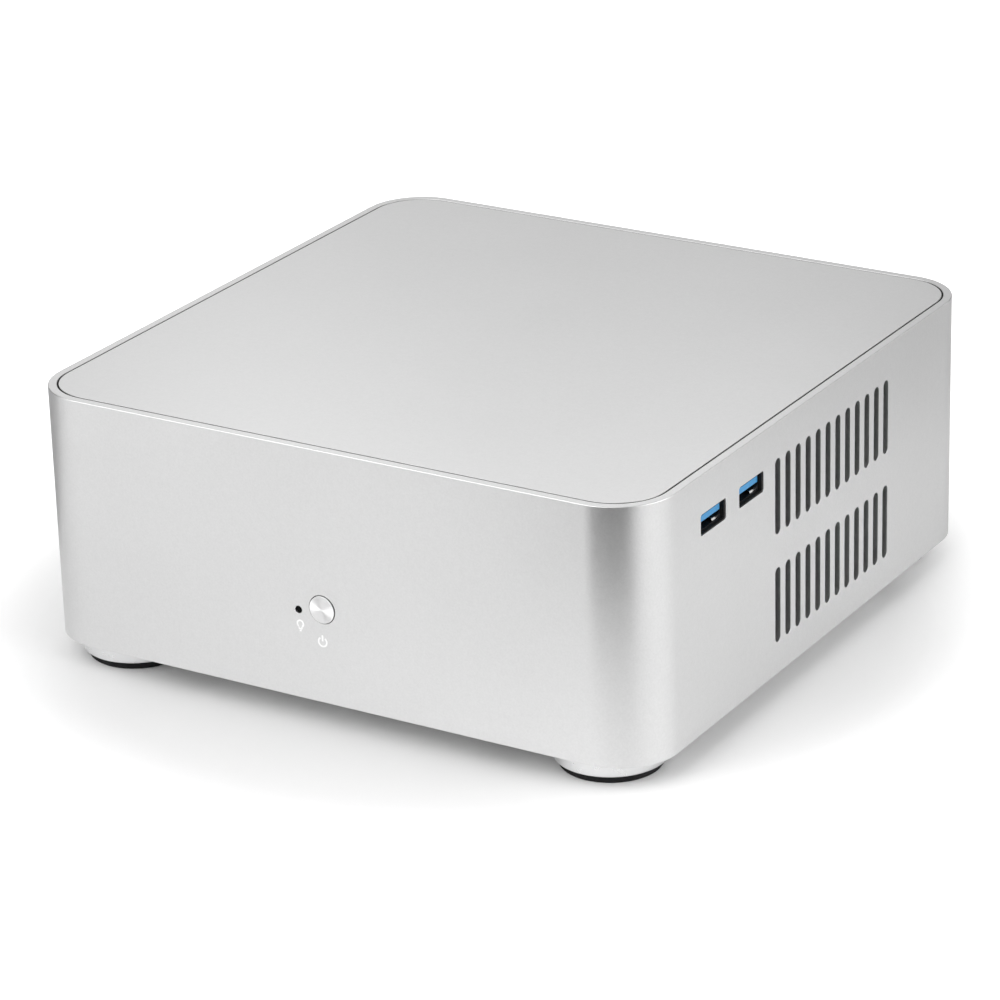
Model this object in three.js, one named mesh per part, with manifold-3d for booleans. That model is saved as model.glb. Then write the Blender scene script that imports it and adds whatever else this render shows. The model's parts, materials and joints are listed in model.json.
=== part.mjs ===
// A low, square desktop computer in an anodised aluminium case. Millimetres, +Z up.
// The origin is on the surface it stands on, under the centre of the case. -Y is the front with the
// power button, +X is the side with the two data sockets, and +Y is the rear with the board's ports.
import * as THREE from "three";
import { mergeVertices } from "three/addons/utils/BufferGeometryUtils.js";
import Module from "manifold-3d";

// ---- driving dimensions ----
const CASE_SIDE = 197; // plan width and depth
const CASE_HEIGHT = 74.5; // shell height, without the feet
const CORNER_R = 17.5; // vertical corners, outside
const WALL = 2.5;
const COVER_THICK = 2.5;
const GROOVE = 0.4; // shadow gap between a cover and the rim around it
const FOOT_HEIGHT = 7; // floor to the underside of the case
const FIT = 0.2; // clearance between pieces that touch
const CORNER_STEPS = 4; // half the facets of a rounded corner
const SLOT_STEPS = 1;
const ROUND_SMALL = 12; // sides of a bore or a shank
const ROUND = 14; // sides of a small round piece
const ROUND_FINE = 24; // sides of a large one
const HEX = 6;

const HALF = CASE_SIDE / 2;
const INNER = HALF - WALL; // inner face of the walls
const BASE_Z = FOOT_HEIGHT;
const TOP_Z = FOOT_HEIGHT + CASE_HEIGHT;
const FLOOR_Z = BASE_Z + COVER_THICK; // inner face of the bottom cover
const CEILING_Z = TOP_Z - COVER_THICK; // inner face of the top cover
const COVER_INSET = WALL + GROOVE;
const BITE = 0.1; // how far joined solids reach into each other

// Side vents: two rows of upright round-ended slots in each side wall.
const SLOT = { first: -23.85, pitch: 6, count: 12, width: 2.75, length: 22.2 };
const SLOT_ROWS = [BASE_Z + 9.6, BASE_Z + 41.7];

// Front: power button, its spring and switch, and the status light, all in front of one small board.
const BUTTON = { x: -1.5, z: BASE_Z + 27.9, r: 4, hole: 4.2, proud: 0.35, stem: 1.5 };
const BUTTON_FLANGE = { r: 5.2, thick: 1 };
const BUTTON_TRAVEL = 1;
const FLANGE_GAP = 0.3; // from the front wall's inner face to the button's flange
const SPRING = { r: 2.3, wire: 0.22, turns: 3.5, gap: 0.5, points: 36, steps: 40 };
const SWITCH = { face: -90.4, half: 3, plunger: -90.9, plungerR: 1.5 };
const LIGHT = { x: -9.15, z: BASE_Z + 26.43, hole: 1.1, lens: 0.95, recess: 0.15, body: 1.5, base: 1.8 };
const LIGHT_Y = { shoulder: -95.2, base: -90.1 };
const PANEL = { x0: -14, x1: 8, z0: BASE_Z + 17, z1: BASE_Z + 39, y: -88, thick: 1.6, hole: 1.6 };
const FRONT_BOSS = { r: 3, hole: 1.25, z: BASE_Z + 35.5, right: 4, left: -10.5, end: -88.3 };
const PANEL_BOLT = { r: 1, head: 2.4, headTall: 1.6, end: -94 };

// Side data sockets.
const DATA_CUT = { w: 13.95, h: 6, r: 0.7, z: BASE_Z + 60.3 };
const DATA_Y = { front: -60.6, rear: -39.2 };
const DATA_PORT = { w: 13.6, h: 5.7, openW: 12.6, openH: 5.1, depth: 17, sink: 0.3 };
const TONGUE = { w: 11.2, thick: 1.9, drop: 0.7, recess: 0.9, base: 5 };
const DATA_BOARD = { x0: 74, y0: -72, y1: -28, thick: 1.6, hole: 1.6 };
const DATA_BOSS = { y: -50, r: 3, hole: 1.25, bore: 7, inset: 6, top: BASE_Z + 55.4, tall: 8 };
const DATA_BOLT = { r: 1, head: 2.4, headTall: 1.6, length: 5 };

// Feet.
const FOOT = { insetX: 21, insetY: 18.3, r: 14.9, metal: 4.6, padR: 13.4, recess: 1.8, edge: 0.4 };
const FOOT_BOLT = { head: 3.8, headTall: 1.2, r: 1.9, hole: 2.2, key: 1.5 };

// Case screws run up through pillars inside the walls into bosses under the top cover.
const PILLAR = { r: 4, inset: 6, hole: 1.75, top: CEILING_Z - 6 };
const CASE_BOLT = { r: 1.5, head: 2.8, headTall: 1.2, sink: 3.05, key: 1.25 };
const TOP_BOSS = { r: 3.3, reach: 91.2 }; // bosses under the top cover, kept clear of the walls
const PILLAR_AT = {
  front_left: [-50, -(HALF - PILLAR.inset)],
  front_right: [50, -(HALF - PILLAR.inset)],
  rear_left: [-(HALF - PILLAR.inset), 56],
  rear_right: [HALF - PILLAR.inset, 56],
};

// Main board: a 170 mm square board with its rear edge behind the rear wall.
const BOARD = { side: 170, thick: 1.6, lift: 6.5, rear: 94.5 };
const BOARD_Z = FLOOR_Z + BOARD.lift;
const BOARD_TOP = BOARD_Z + BOARD.thick;
const BOARD_HOLES = { x: 78.74, rear: 10.16, spacing: 154.94, r: 1.9 };
const STANDOFF = { r: 2.9, bore: 1.6 };
const BOARD_BOLT = { r: 1.2, head: 2.9, headTall: 1.6, length: 5, key: 1 };
const APERTURE = { w: 158.75, h: 44.45, z: BOARD_TOP - 3.8 }; // rear opening for the board's ports
const CPU = { x: -8, y: 8, socket: 45, socketTall: 3, side: 37.5, base: 1.2, lid: 28, lidTall: 2.4 };
const SINK = { side: 90, base: 4, fins: 19, fin: 1, tall: 17 };
const FAN = { side: 80, thick: 15, corner: 5, bore: 37.6, bolts: 35.75, boltR: 2.1 };
const FAN_HUB = { r: 14, seat: 2, shaft: 1.4, shaftTop: 9, strut: 3, struts: 3, strutTurn: 0.4 };
const FAN_BLADE = { count: 7, reach: 36.6, chord: 16, thick: 1.2, twist: 0.6, low: 2.8, top: 1 };
const MEMORY = { x: [62, 71], y0: -63.35, length: 133.35, tall: 30, thick: 1.3, slot: 6.5, slotTall: 6 };
const MEMORY_SLOT = { over: 4, floor: 2, gap: 0.3 };
const CHIP = { count: 8, first: 8, pitch: 14.8, w: 10, low: 9, high: 22, tall: 0.9 };
const SUPPLY = { x0: -62, x1: -10.4, y0: -74, y1: -64.4, socketTall: 12, edgeTall: 8 };
const HEADER = { usb: [44, -68], panel: [22, -68], drive: [46, 60], halfX: 5, halfY: 3, top: BOARD_TOP + 6 };
const CHOKES = { x: [-70, -59, -48, -37, -26], y: 46, half: 4, tall: 5 };

// Rear ports, each given by its left edge, width and height above the board.
const REAR_FACE = 97.5;
const REAR_USB = { x0: -72, w: 30, h: 15.6, depth: 17.5, left: 1.1, low: 1, pocket: 12, root: 12.5 };
const REAR_NET = { x0: -34, w: 16, h: 13.5, depth: 21, openW: 12, openH: 8.4, pocket: 14 };
const REAR_VIDEO = { x0: -8, w: 16, h: 7, depth: 12, openW: 14, openH: 4.6, pocket: 8 };
const VIDEO_TONGUE = { w: 11, thick: 1.2, recess: 1.5, root: 9 };
const REAR_AUDIO = { x0: 52, w: 13, h: 35, depth: 14, hole: 1.8, pocket: 11, first: 6, pitch: 11.5 };
const SHIELD = { over: 1.4, thick: 0.7, back: INNER - 0.3, gap: 0.3 };
const JACK = { x: 62, z: BASE_Z + 61, hole: 4.1, r: 3.9, flange: 5.4, bore: 2.75, pin: 1, length: 16 };
const JACK_FLANGE = { from: 0.1, to: 1.4 }; // outside the rear wall
const JACK_PIT = { depth: 9.5, pinLow: 10, pinTop: 0.5 };
const JACK_NUT = { r: 5.6, thick: 3 };

// Drive that hangs under the top cover.
const DRIVE = { x0: -88, y0: -86.5, l: 100, w: 69.85, h: 7, z: CEILING_Z - 12 };
const DRIVE_SOCKET = { deep: 4, y0: 9, y1: 43, low: 1.5, high: 5.5 };
const BRACKET = { over: 1, side: 1.2, thick: 1, flangeInset: 12, flangeLow: 1, post: 3, postInset: 8 };

// Leads inside the case: the lead's radius, and the route that it takes between its two plugs.
const LEAD_STEPS = 22;
const PLUG = {
  header: [5, 3, 4],
  data: [4, 5, 3],
  panel: [4, 2.5, 2],
  drive: [4, 16, 1.8],
  inlet: [3, 3, 3],
  supply: [4, 2.6, 4],
}; // half sizes
const DATA_LEAD = { r: 1.9, route: [[68, -52, 51.6], [58, -68, 52], [50, -74, 40]] };
const PANEL_LEAD = { r: 1.4, route: [[2, -80, BASE_Z + 20], [14, -76, BASE_Z + 26]] };
const DRIVE_LEAD = { r: 1.7, route: [[26, -56, DRIVE.z], [45, -30, 60], [50, 20, 58], [48, 50, 44]] };
const INLET_ROUTE = [[57, 66, 66], [42, 30, 64.5], [40, -20, 64.5], [24, -44, 60], [0, -60, 52]];
const INLET_LEAD = { r: 1.6, route: INLET_ROUTE };

// ---- helpers ----
const wasm = await Module();
wasm.setup();

/** A closed three.js geometry as a manifold-3d solid. */
function solid(geometry) {
  const plain = geometry.clone();
  plain.deleteAttribute("normal");
  plain.deleteAttribute("uv");
  const merged = mergeVertices(plain, 1e-4);
  return new wasm.Manifold(
    new wasm.Mesh({
      numProp: 3,
      vertProperties: merged.attributes.position.array,
      triVerts: new Uint32Array(merged.index.array),
    }),
  );
}

/** A manifold-3d solid as a three.js geometry. */
function geometryOf(body) {
  const mesh = body.getMesh();
  const geometry = new THREE.BufferGeometry();
  geometry.setAttribute("position", new THREE.BufferAttribute(mesh.vertProperties, 3));
  geometry.setIndex(new THREE.BufferAttribute(mesh.triVerts, 1));
  geometry.computeVertexNormals();
  return geometry;
}

const join = (first, ...rest) => rest.reduce((sum, piece) => sum.add(piece), first);
const cut = (first, ...rest) => rest.reduce((left, tool) => left.subtract(tool), first);

/** A block between two corners. */
function block([x0, y0, z0], [x1, y1, z1]) {
  const geometry = new THREE.BoxGeometry(x1 - x0, y1 - y0, z1 - z0);
  geometry.translate((x0 + x1) / 2, (y0 + y1) / 2, (z0 + z1) / 2);
  return solid(geometry);
}

/** Turns a geometry made along +Z so that it runs along another axis. */
function along(geometry, axis) {
  if (axis === "x") geometry.rotateZ(Math.PI / 2).rotateY(Math.PI / 2);
  if (axis === "y") geometry.rotateX(-Math.PI / 2);
  return geometry;
}

/** A round bar from one value to another along an axis, at [x, y, z] in the other two. */
function rod(axis, r, from, to, [x, y, z], sides = ROUND) {
  const geometry = new THREE.CylinderGeometry(r, r, to - from, sides);
  geometry.rotateX(Math.PI / 2);
  along(geometry, axis);
  const middle = (from + to) / 2;
  geometry.translate(axis === "x" ? middle : x, axis === "y" ? middle : y, axis === "z" ? middle : z);
  return solid(geometry);
}

/** A rounded rectangle centred on the origin. */
function roundedOutline(w, h, r) {
  const outline = new THREE.Shape();
  outline.moveTo(w / 2 - r, -h / 2);
  outline.absarc(w / 2 - r, -h / 2 + r, r, -Math.PI / 2, 0);
  outline.absarc(w / 2 - r, h / 2 - r, r, 0, Math.PI / 2);
  outline.absarc(-w / 2 + r, h / 2 - r, r, Math.PI / 2, Math.PI);
  outline.absarc(-w / 2 + r, -h / 2 + r, r, Math.PI, Math.PI * 1.5);
  outline.closePath();
  return outline;
}

/** An outline drawn out along an axis between two values, and moved to [x, y, z]. */
function drawn(outline, axis, from, to, [x, y, z], steps) {
  const settings = { depth: to - from, bevelEnabled: false, curveSegments: steps };
  const geometry = new THREE.ExtrudeGeometry(outline, settings);
  geometry.translate(0, 0, from);
  along(geometry, axis);
  geometry.translate(x, y, z);
  return solid(geometry);
}

const casePlate = (inset, z0, z1) =>
  drawn(
    roundedOutline(CASE_SIDE - 2 * inset, CASE_SIDE - 2 * inset, CORNER_R - inset),
    "z", z0, z1, [0, 0, 0], CORNER_STEPS,
  );

/** A solid of revolution about an upright axis through (x, y), from [radius, z] points. */
function turned(points, x, y, sides = ROUND) {
  const geometry = new THREE.LatheGeometry(points.map(([r, z]) => new THREE.Vector2(r, z)), sides);
  geometry.rotateX(Math.PI / 2);
  geometry.translate(x, y, 0);
  return solid(geometry);
}

const KEY_DEPTH = 0.6; // a key socket's share of its head
/** A screw that stands upright, its head below or above its shank. */
function uprightScrew({ x, y, headFrom, headTo, head, shankTo, r, socket }) {
  const dig = headTo > headFrom ? 1 : -1;
  const depth = Math.abs(headTo - headFrom) * KEY_DEPTH;
  const low = Math.min(headFrom, headFrom + dig * depth);
  const neck = headTo - dig * BITE;
  return cut(
    join(
      rod("z", head, Math.min(headFrom, headTo), Math.max(headFrom, headTo), [x, y, 0]),
      rod("z", r, Math.min(neck, shankTo), Math.max(neck, shankTo), [x, y, 0], ROUND_SMALL),
    ),
    rod("z", socket, low - (dig > 0 ? BITE : 0), low + depth + (dig > 0 ? 0 : BITE), [x, y, 0], HEX),
  );
}

/** A round lead along a smooth route, with a block of half sizes `plug` at each end. */
function lead(route, r, plugs) {
  const curve = new THREE.CatmullRomCurve3(route.map((p) => new THREE.Vector3(...p)));
  const section = new THREE.Shape();
  section.absarc(0, 0, r, 0, Math.PI * 2);
  const settings = { steps: LEAD_STEPS, curveSegments: 4, bevelEnabled: false, extrudePath: curve };
  const tube = solid(new THREE.ExtrudeGeometry(section, settings));
  const ends = [route[0], route[route.length - 1]];
  const blocks = plugs.map((half, i) =>
    block(
      ends[i].map((v, k) => v - half[k]),
      ends[i].map((v, k) => v + half[k]),
    ),
  );
  return join(tube, ...blocks);
}

const object = new THREE.Group();

const FINISH = {
  anodised: { color: 0xc9cacb, roughness: 0.45, metalness: 1 },
  spun: { color: 0xdcdcdd, roughness: 0.3, metalness: 1 },
  steel: { color: 0x9c9ea1, roughness: 0.35, metalness: 1 },
  blackScrew: { color: 0x26272a, roughness: 0.4, metalness: 1 },
  brass: { color: 0xb9974e, roughness: 0.35, metalness: 1 },
  rubber: { color: 0x17171a, roughness: 0.85, metalness: 0 },
  circuit: { color: 0x16361f, roughness: 0.5, metalness: 0 },
  blackPlastic: { color: 0x1b1c1e, roughness: 0.5, metalness: 0 },
  bluePlastic: { color: 0x4c95cc, roughness: 0.45, metalness: 0 },
  smoked: { color: 0x0c0d0f, roughness: 0.15, metalness: 0 },
  lead: { color: 0x1a1a1c, roughness: 0.6, metalness: 0 },
};

/** Adds one named sub-part to the object. */
function add(name, body, finish) {
  const mesh = new THREE.Mesh(geometryOf(body), new THREE.MeshStandardMaterial(FINISH[finish]));
  mesh.name = name;
  object.add(mesh);
}

// ---- shell: one drawn ring with rounded corners ----
const slotOutline = roundedOutline(SLOT.width, SLOT.length, SLOT.width / 2);

function sideSlots() {
  const tools = [];
  for (const side of [-1, 1])
    for (const low of SLOT_ROWS)
      for (let i = 0; i < SLOT.count; i++) {
        const at = [0, SLOT.first + i * SLOT.pitch, low + SLOT.length / 2];
        const from = side > 0 ? INNER - 1 : -HALF - 1;
        tools.push(drawn(slotOutline, "x", from, from + WALL + 2, at, SLOT_STEPS));
      }
  return tools;
}

const dataOutline = roundedOutline(DATA_CUT.w, DATA_CUT.h, DATA_CUT.r);
const dataBossAt = [HALF - DATA_BOSS.inset, DATA_BOSS.y, 0];

function shell() {
  const ring = cut(casePlate(0, BASE_Z, TOP_Z), casePlate(WALL, BASE_Z - 1, TOP_Z + 1));
  const pillars = Object.values(PILLAR_AT).map(([x, y]) =>
    rod("z", PILLAR.r, FLOOR_Z + FIT, PILLAR.top, [x, y, 0]),
  );
  const frontBosses = [FRONT_BOSS.right, FRONT_BOSS.left].map((x) =>
    rod("y", FRONT_BOSS.r, -INNER - 1, FRONT_BOSS.end, [x, 0, FRONT_BOSS.z]),
  );
  const bossLow = DATA_BOSS.top - DATA_BOSS.tall;
  const dataBoss = join(
    rod("z", DATA_BOSS.r, bossLow, DATA_BOSS.top, dataBossAt),
    block(
      [dataBossAt[0], DATA_BOSS.y - DATA_BOSS.r, bossLow],
      [INNER + 1, DATA_BOSS.y + DATA_BOSS.r, DATA_BOSS.top],
    ),
  );
  const holes = [
    ...sideSlots(),
    ...Object.values(DATA_Y).map((y) => drawn(dataOutline, "x", INNER - 1, HALF + 1, [0, y, DATA_CUT.z], 2)),
    ...Object.values(PILLAR_AT).map(([x, y]) =>
      rod("z", PILLAR.hole, FLOOR_Z - 1, PILLAR.top + 1, [x, y, 0], ROUND_SMALL),
    ),
    rod("y", BUTTON.hole, -HALF - 1, -INNER + 1, [BUTTON.x, 0, BUTTON.z], ROUND_FINE),
    rod("y", LIGHT.hole, -HALF - 1, -INNER + 1, [LIGHT.x, 0, LIGHT.z]),
    rod("y", FRONT_BOSS.hole, -INNER + 1, FRONT_BOSS.end + 1, [FRONT_BOSS.right, 0, FRONT_BOSS.z], ROUND_SMALL),
    rod("z", DATA_BOSS.hole, DATA_BOSS.top - DATA_BOSS.bore, DATA_BOSS.top + 1, dataBossAt, ROUND_SMALL),
    block([-APERTURE.w / 2, INNER - 1, APERTURE.z], [APERTURE.w / 2, HALF + 1, APERTURE.z + APERTURE.h]),
    rod("y", JACK.hole, INNER - 1, HALF + 1, [JACK.x, 0, JACK.z]),
  ];
  return cut(join(ring, ...pillars, ...frontBosses, dataBoss), ...holes);
}
add("shell", shell(), "anodised");

// ---- covers ----
function topCover() {
  const bosses = Object.values(PILLAR_AT).map(([x, y]) => {
    const at = [Math.sign(x) * Math.min(Math.abs(x), TOP_BOSS.reach), Math.max(y, -TOP_BOSS.reach), 0];
    return rod("z", TOP_BOSS.r, PILLAR.top + FIT, CEILING_Z + 1, at);
  });
  const bores = Object.values(PILLAR_AT).map(([x, y]) =>
    rod("z", PILLAR.hole, PILLAR.top - 1, CEILING_Z + 0.6, [x, y, 0], ROUND_SMALL),
  );
  return cut(join(casePlate(COVER_INSET, CEILING_Z, TOP_Z), ...bosses), ...bores);
}
add("top_cover", topCover(), "anodised");

const corners = { front_left: [-1, -1], front_right: [1, -1], rear_left: [-1, 1], rear_right: [1, 1] };
const footAt = ([sx, sy]) => [sx * (HALF - FOOT.insetX), sy * (HALF - FOOT.insetY)];

function bottomCover() {
  const holes = Object.values(PILLAR_AT).flatMap(([x, y]) => [
    rod("z", PILLAR.hole, BASE_Z - 1, FLOOR_Z + 1, [x, y, 0], ROUND_SMALL),
    rod("z", CASE_BOLT.sink, BASE_Z - 1, BASE_Z + CASE_BOLT.headTall + FIT, [x, y, 0]),
  ]);
  const footHoles = Object.values(corners).map((corner) =>
    rod("z", FOOT_BOLT.hole, BASE_Z - 1, FLOOR_Z + 1, [...footAt(corner), 0], ROUND_SMALL),
  );
  return cut(casePlate(COVER_INSET, BASE_Z, FLOOR_Z), ...holes, ...footHoles);
}
add("bottom_cover", bottomCover(), "anodised");

for (const [where, [x, y]] of Object.entries(PILLAR_AT))
  add(
    "case_screw_" + where,
    uprightScrew({
      x, y, headFrom: BASE_Z + 0.1, headTo: BASE_Z + CASE_BOLT.headTall, head: CASE_BOLT.head,
      shankTo: CEILING_Z, r: CASE_BOLT.r, socket: CASE_BOLT.key,
    }),
    "blackScrew",
  );

// ---- feet: a turned metal cup, a rubber pad in its underside and the screw that holds it ----
const CUP_TOP = BASE_Z - 0.1;
const CUP_LOW = BASE_Z - FOOT.metal;
const CUP_SEAT = CUP_LOW + FOOT.recess;

for (const [where, corner] of Object.entries(corners)) {
  const [x, y] = footAt(corner);
  const cup = turned(
    [
      [0, CUP_SEAT],
      [FOOT.padR + FIT, CUP_SEAT],
      [FOOT.padR + FIT, CUP_LOW],
      [FOOT.r - FOOT.edge, CUP_LOW],
      [FOOT.r, CUP_LOW + FOOT.edge],
      [FOOT.r, CUP_TOP - FOOT.edge],
      [FOOT.r - FOOT.edge, CUP_TOP],
      [0, CUP_TOP],
    ],
    x, y, ROUND_FINE,
  );
  const bores = [
    rod("z", FOOT_BOLT.head + 2 * FIT, CUP_SEAT - 1, CUP_SEAT + FOOT_BOLT.headTall + FIT, [x, y, 0]),
    rod("z", FOOT_BOLT.hole, CUP_SEAT - 1, CUP_TOP + 1, [x, y, 0], ROUND_SMALL),
  ];
  add("foot_" + where, cut(cup, ...bores), "spun");
  const pad = turned(
    [
      [0, 0],
      [FOOT.padR - FOOT.edge, 0],
      [FOOT.padR, FOOT.edge],
      [FOOT.padR, CUP_SEAT - FIT],
      [0, CUP_SEAT - FIT],
    ],
    x, y, ROUND_FINE,
  );
  add("foot_pad_" + where, pad, "rubber");
  const screw = uprightScrew({
    x, y, headFrom: CUP_SEAT + 0.1, headTo: CUP_SEAT + FOOT_BOLT.headTall, head: FOOT_BOLT.head,
    shankTo: FLOOR_Z - FIT, r: FOOT_BOLT.r, socket: FOOT_BOLT.key,
  });
  add("foot_screw_" + where, screw, "steel");
}

// ---- main board on its standoffs ----
const holeRear = BOARD.rear - BOARD_HOLES.rear;
const boardHoleAt = ([sx, sy]) => [sx * BOARD_HOLES.x, sy > 0 ? holeRear : holeRear - BOARD_HOLES.spacing];

for (const [where, corner] of Object.entries(corners)) {
  const at = [...boardHoleAt(corner), 0];
  const post = cut(
    rod("z", STANDOFF.r, FLOOR_Z + FIT, BOARD_Z - FIT, at, HEX),
    rod("z", STANDOFF.bore, BOARD_Z - BOARD_BOLT.length, BOARD_Z + 1, at, ROUND_SMALL),
  );
  add("standoff_" + where, post, "brass");
  const screw = uprightScrew({
    x: at[0], y: at[1], headFrom: BOARD_TOP + FIT + BOARD_BOLT.headTall, headTo: BOARD_TOP + FIT,
    head: BOARD_BOLT.head, shankTo: BOARD_Z - BOARD_BOLT.length + 1, r: BOARD_BOLT.r, socket: BOARD_BOLT.key,
  });
  add("board_screw_" + where, screw, "steel");
}

const memoryBoards = { memory_module_inner: MEMORY.x[0], memory_module_outer: MEMORY.x[1] };

function mainBoard() {
  const half = BOARD.side / 2;
  const plate = block([-half, BOARD.rear - BOARD.side, BOARD_Z], [half, BOARD.rear, BOARD_TOP]);
  const holes = Object.values(corners).map((corner) =>
    rod("z", BOARD_HOLES.r, BOARD_Z - 1, BOARD_TOP + 1, [...boardHoleAt(corner), 0], ROUND_SMALL),
  );
  const low = BOARD_TOP - BITE;
  const socket = block(
    [CPU.x - CPU.socket / 2, CPU.y - CPU.socket / 2, low],
    [CPU.x + CPU.socket / 2, CPU.y + CPU.socket / 2, BOARD_TOP + CPU.socketTall],
  );
  const slots = MEMORY.x.map((x) =>
    cut(
      block(
        [x - MEMORY.slot / 2, MEMORY.y0 - MEMORY_SLOT.over, low],
        [x + MEMORY.slot / 2, MEMORY.y0 + MEMORY.length + MEMORY_SLOT.over, BOARD_TOP + MEMORY.slotTall],
      ),
      block(
        [x - MEMORY.thick / 2 - MEMORY_SLOT.gap, MEMORY.y0 - MEMORY_SLOT.gap, BOARD_TOP + MEMORY_SLOT.floor],
        [
          x + MEMORY.thick / 2 + MEMORY_SLOT.gap,
          MEMORY.y0 + MEMORY.length + MEMORY_SLOT.gap,
          BOARD_TOP + MEMORY.slotTall + 1,
        ],
      ),
    ),
  );
  const supply = block([SUPPLY.x0, SUPPLY.y0, low], [SUPPLY.x1, SUPPLY.y1, BOARD_TOP + SUPPLY.socketTall]);
  const headers = [HEADER.usb, HEADER.panel, HEADER.drive].map(([x, y]) =>
    block([x - HEADER.halfX, y - HEADER.halfY, low], [x + HEADER.halfX, y + HEADER.halfY, HEADER.top]),
  );
  const { half: side, y } = CHOKES;
  const chokeTop = BOARD_TOP + CHOKES.tall;
  const chokes = CHOKES.x.map((x) => block([x - side, y - side, low], [x + side, y + side, chokeTop]));
  return join(cut(plate, ...holes), socket, ...slots, supply, ...headers, ...chokes);
}
add("motherboard", mainBoard(), "circuit");

const cpuZ = BOARD_TOP + CPU.socketTall + FIT;
const square = (x, y, side, z0, z1) =>
  block([x - side / 2, y - side / 2, z0], [x + side / 2, y + side / 2, z1]);
const lidTop = cpuZ + CPU.base + CPU.lidTall;
add(
  "processor",
  join(
    square(CPU.x, CPU.y, CPU.side, cpuZ, cpuZ + CPU.base),
    square(CPU.x, CPU.y, CPU.lid, cpuZ + CPU.base - BITE, lidTop),
  ),
  "steel",
);

// ---- cooler: finned block with a fan on top ----
const sinkZ = lidTop + FIT;
const fanZ = sinkZ + SINK.base + SINK.tall + FIT;

function heatsink() {
  const pitch = (SINK.side - SINK.fin) / (SINK.fins - 1);
  const fins = Array.from({ length: SINK.fins }, (_, i) => {
    const x = CPU.x - SINK.side / 2 + i * pitch;
    const [y0, y1] = [CPU.y - SINK.side / 2, CPU.y + SINK.side / 2];
    return block([x, y0, sinkZ + SINK.base - BITE], [x + SINK.fin, y1, fanZ - FIT]);
  });
  return join(square(CPU.x, CPU.y, SINK.side, sinkZ, sinkZ + SINK.base), ...fins);
}
add("heatsink", heatsink(), "anodised");

function fanFrame() {
  const at = [CPU.x, CPU.y, 0];
  const top = fanZ + FAN.thick + 1;
  const boltHoles = Object.values(corners).map(([sx, sy]) =>
    rod("z", FAN.boltR, fanZ - 1, top, [CPU.x + sx * FAN.bolts, CPU.y + sy * FAN.bolts, 0], ROUND_SMALL),
  );
  const frame = cut(
    drawn(roundedOutline(FAN.side, FAN.side, FAN.corner), "z", fanZ, fanZ + FAN.thick, at, 2),
    rod("z", FAN.bore, fanZ - 1, top, at, ROUND_FINE),
    ...boltHoles,
  );
  const hubSeat = rod("z", FAN_HUB.r, fanZ, fanZ + FAN_HUB.seat, at);
  const shaft = rod("z", FAN_HUB.shaft, fanZ + 1, fanZ + FAN_HUB.shaftTop, at, ROUND_SMALL);
  const struts = Array.from({ length: FAN_HUB.struts }, (_, i) => {
    const bar = new THREE.BoxGeometry(FAN.bore - FAN_HUB.r + FAN_HUB.strut, FAN_HUB.strut, FAN_HUB.seat);
    bar.translate((FAN.bore + FAN_HUB.r) / 2, 0, FAN_HUB.seat / 2);
    bar.rotateZ((i * Math.PI * 2) / FAN_HUB.struts + FAN_HUB.strutTurn);
    bar.translate(CPU.x, CPU.y, fanZ);
    return solid(bar);
  });
  return join(frame, hubSeat, shaft, ...struts);
}
add("fan_frame", fanFrame(), "blackPlastic");

function fanRotor() {
  const at = [CPU.x, CPU.y, 0];
  const low = fanZ + FAN_BLADE.low;
  const high = fanZ + FAN.thick - FAN_BLADE.top;
  const hub = cut(
    rod("z", FAN_HUB.r, low, high, at),
    rod("z", FAN_HUB.shaft + 0.3, low - 1, fanZ + FAN_HUB.shaftTop + 0.5, at, ROUND_SMALL),
  );
  const blades = Array.from({ length: FAN_BLADE.count }, (_, i) => {
    const blade = new THREE.BoxGeometry(FAN_BLADE.reach - FAN_HUB.r + 1, FAN_BLADE.chord, FAN_BLADE.thick);
    blade.rotateX(FAN_BLADE.twist);
    blade.translate((FAN_BLADE.reach + FAN_HUB.r - 1) / 2, 0, (low + high) / 2);
    blade.rotateZ((i * Math.PI * 2) / FAN_BLADE.count);
    blade.translate(CPU.x, CPU.y, 0);
    return solid(blade);
  });
  const sweep = rod("z", FAN_BLADE.reach, low, high, at, ROUND_FINE);
  return join(hub, ...blades.map((blade) => blade.intersect(sweep)));
}
add("fan_rotor", fanRotor(), "blackPlastic");

// ---- memory modules ----
for (const [name, x] of Object.entries(memoryBoards)) {
  const low = BOARD_TOP + MEMORY_SLOT.floor + FIT;
  const card = block(
    [x - MEMORY.thick / 2, MEMORY.y0, low],
    [x + MEMORY.thick / 2, MEMORY.y0 + MEMORY.length, low + MEMORY.tall],
  );
  const chips = Array.from({ length: CHIP.count }, (_, i) => {
    const y = MEMORY.y0 + CHIP.first + i * CHIP.pitch;
    const face = x + MEMORY.thick / 2;
    return block([face - BITE, y, low + CHIP.low], [face + CHIP.tall, y + CHIP.w, low + CHIP.high]);
  });
  add(name, join(card, ...chips), "circuit");
}

// ---- rear ports and the plate around them ----
const portZ = BOARD_TOP + FIT;
const rearBlock = ({ x0, w, h, depth }) =>
  block([x0, REAR_FACE - depth, portZ], [x0 + w, REAR_FACE, portZ + h]);

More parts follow.
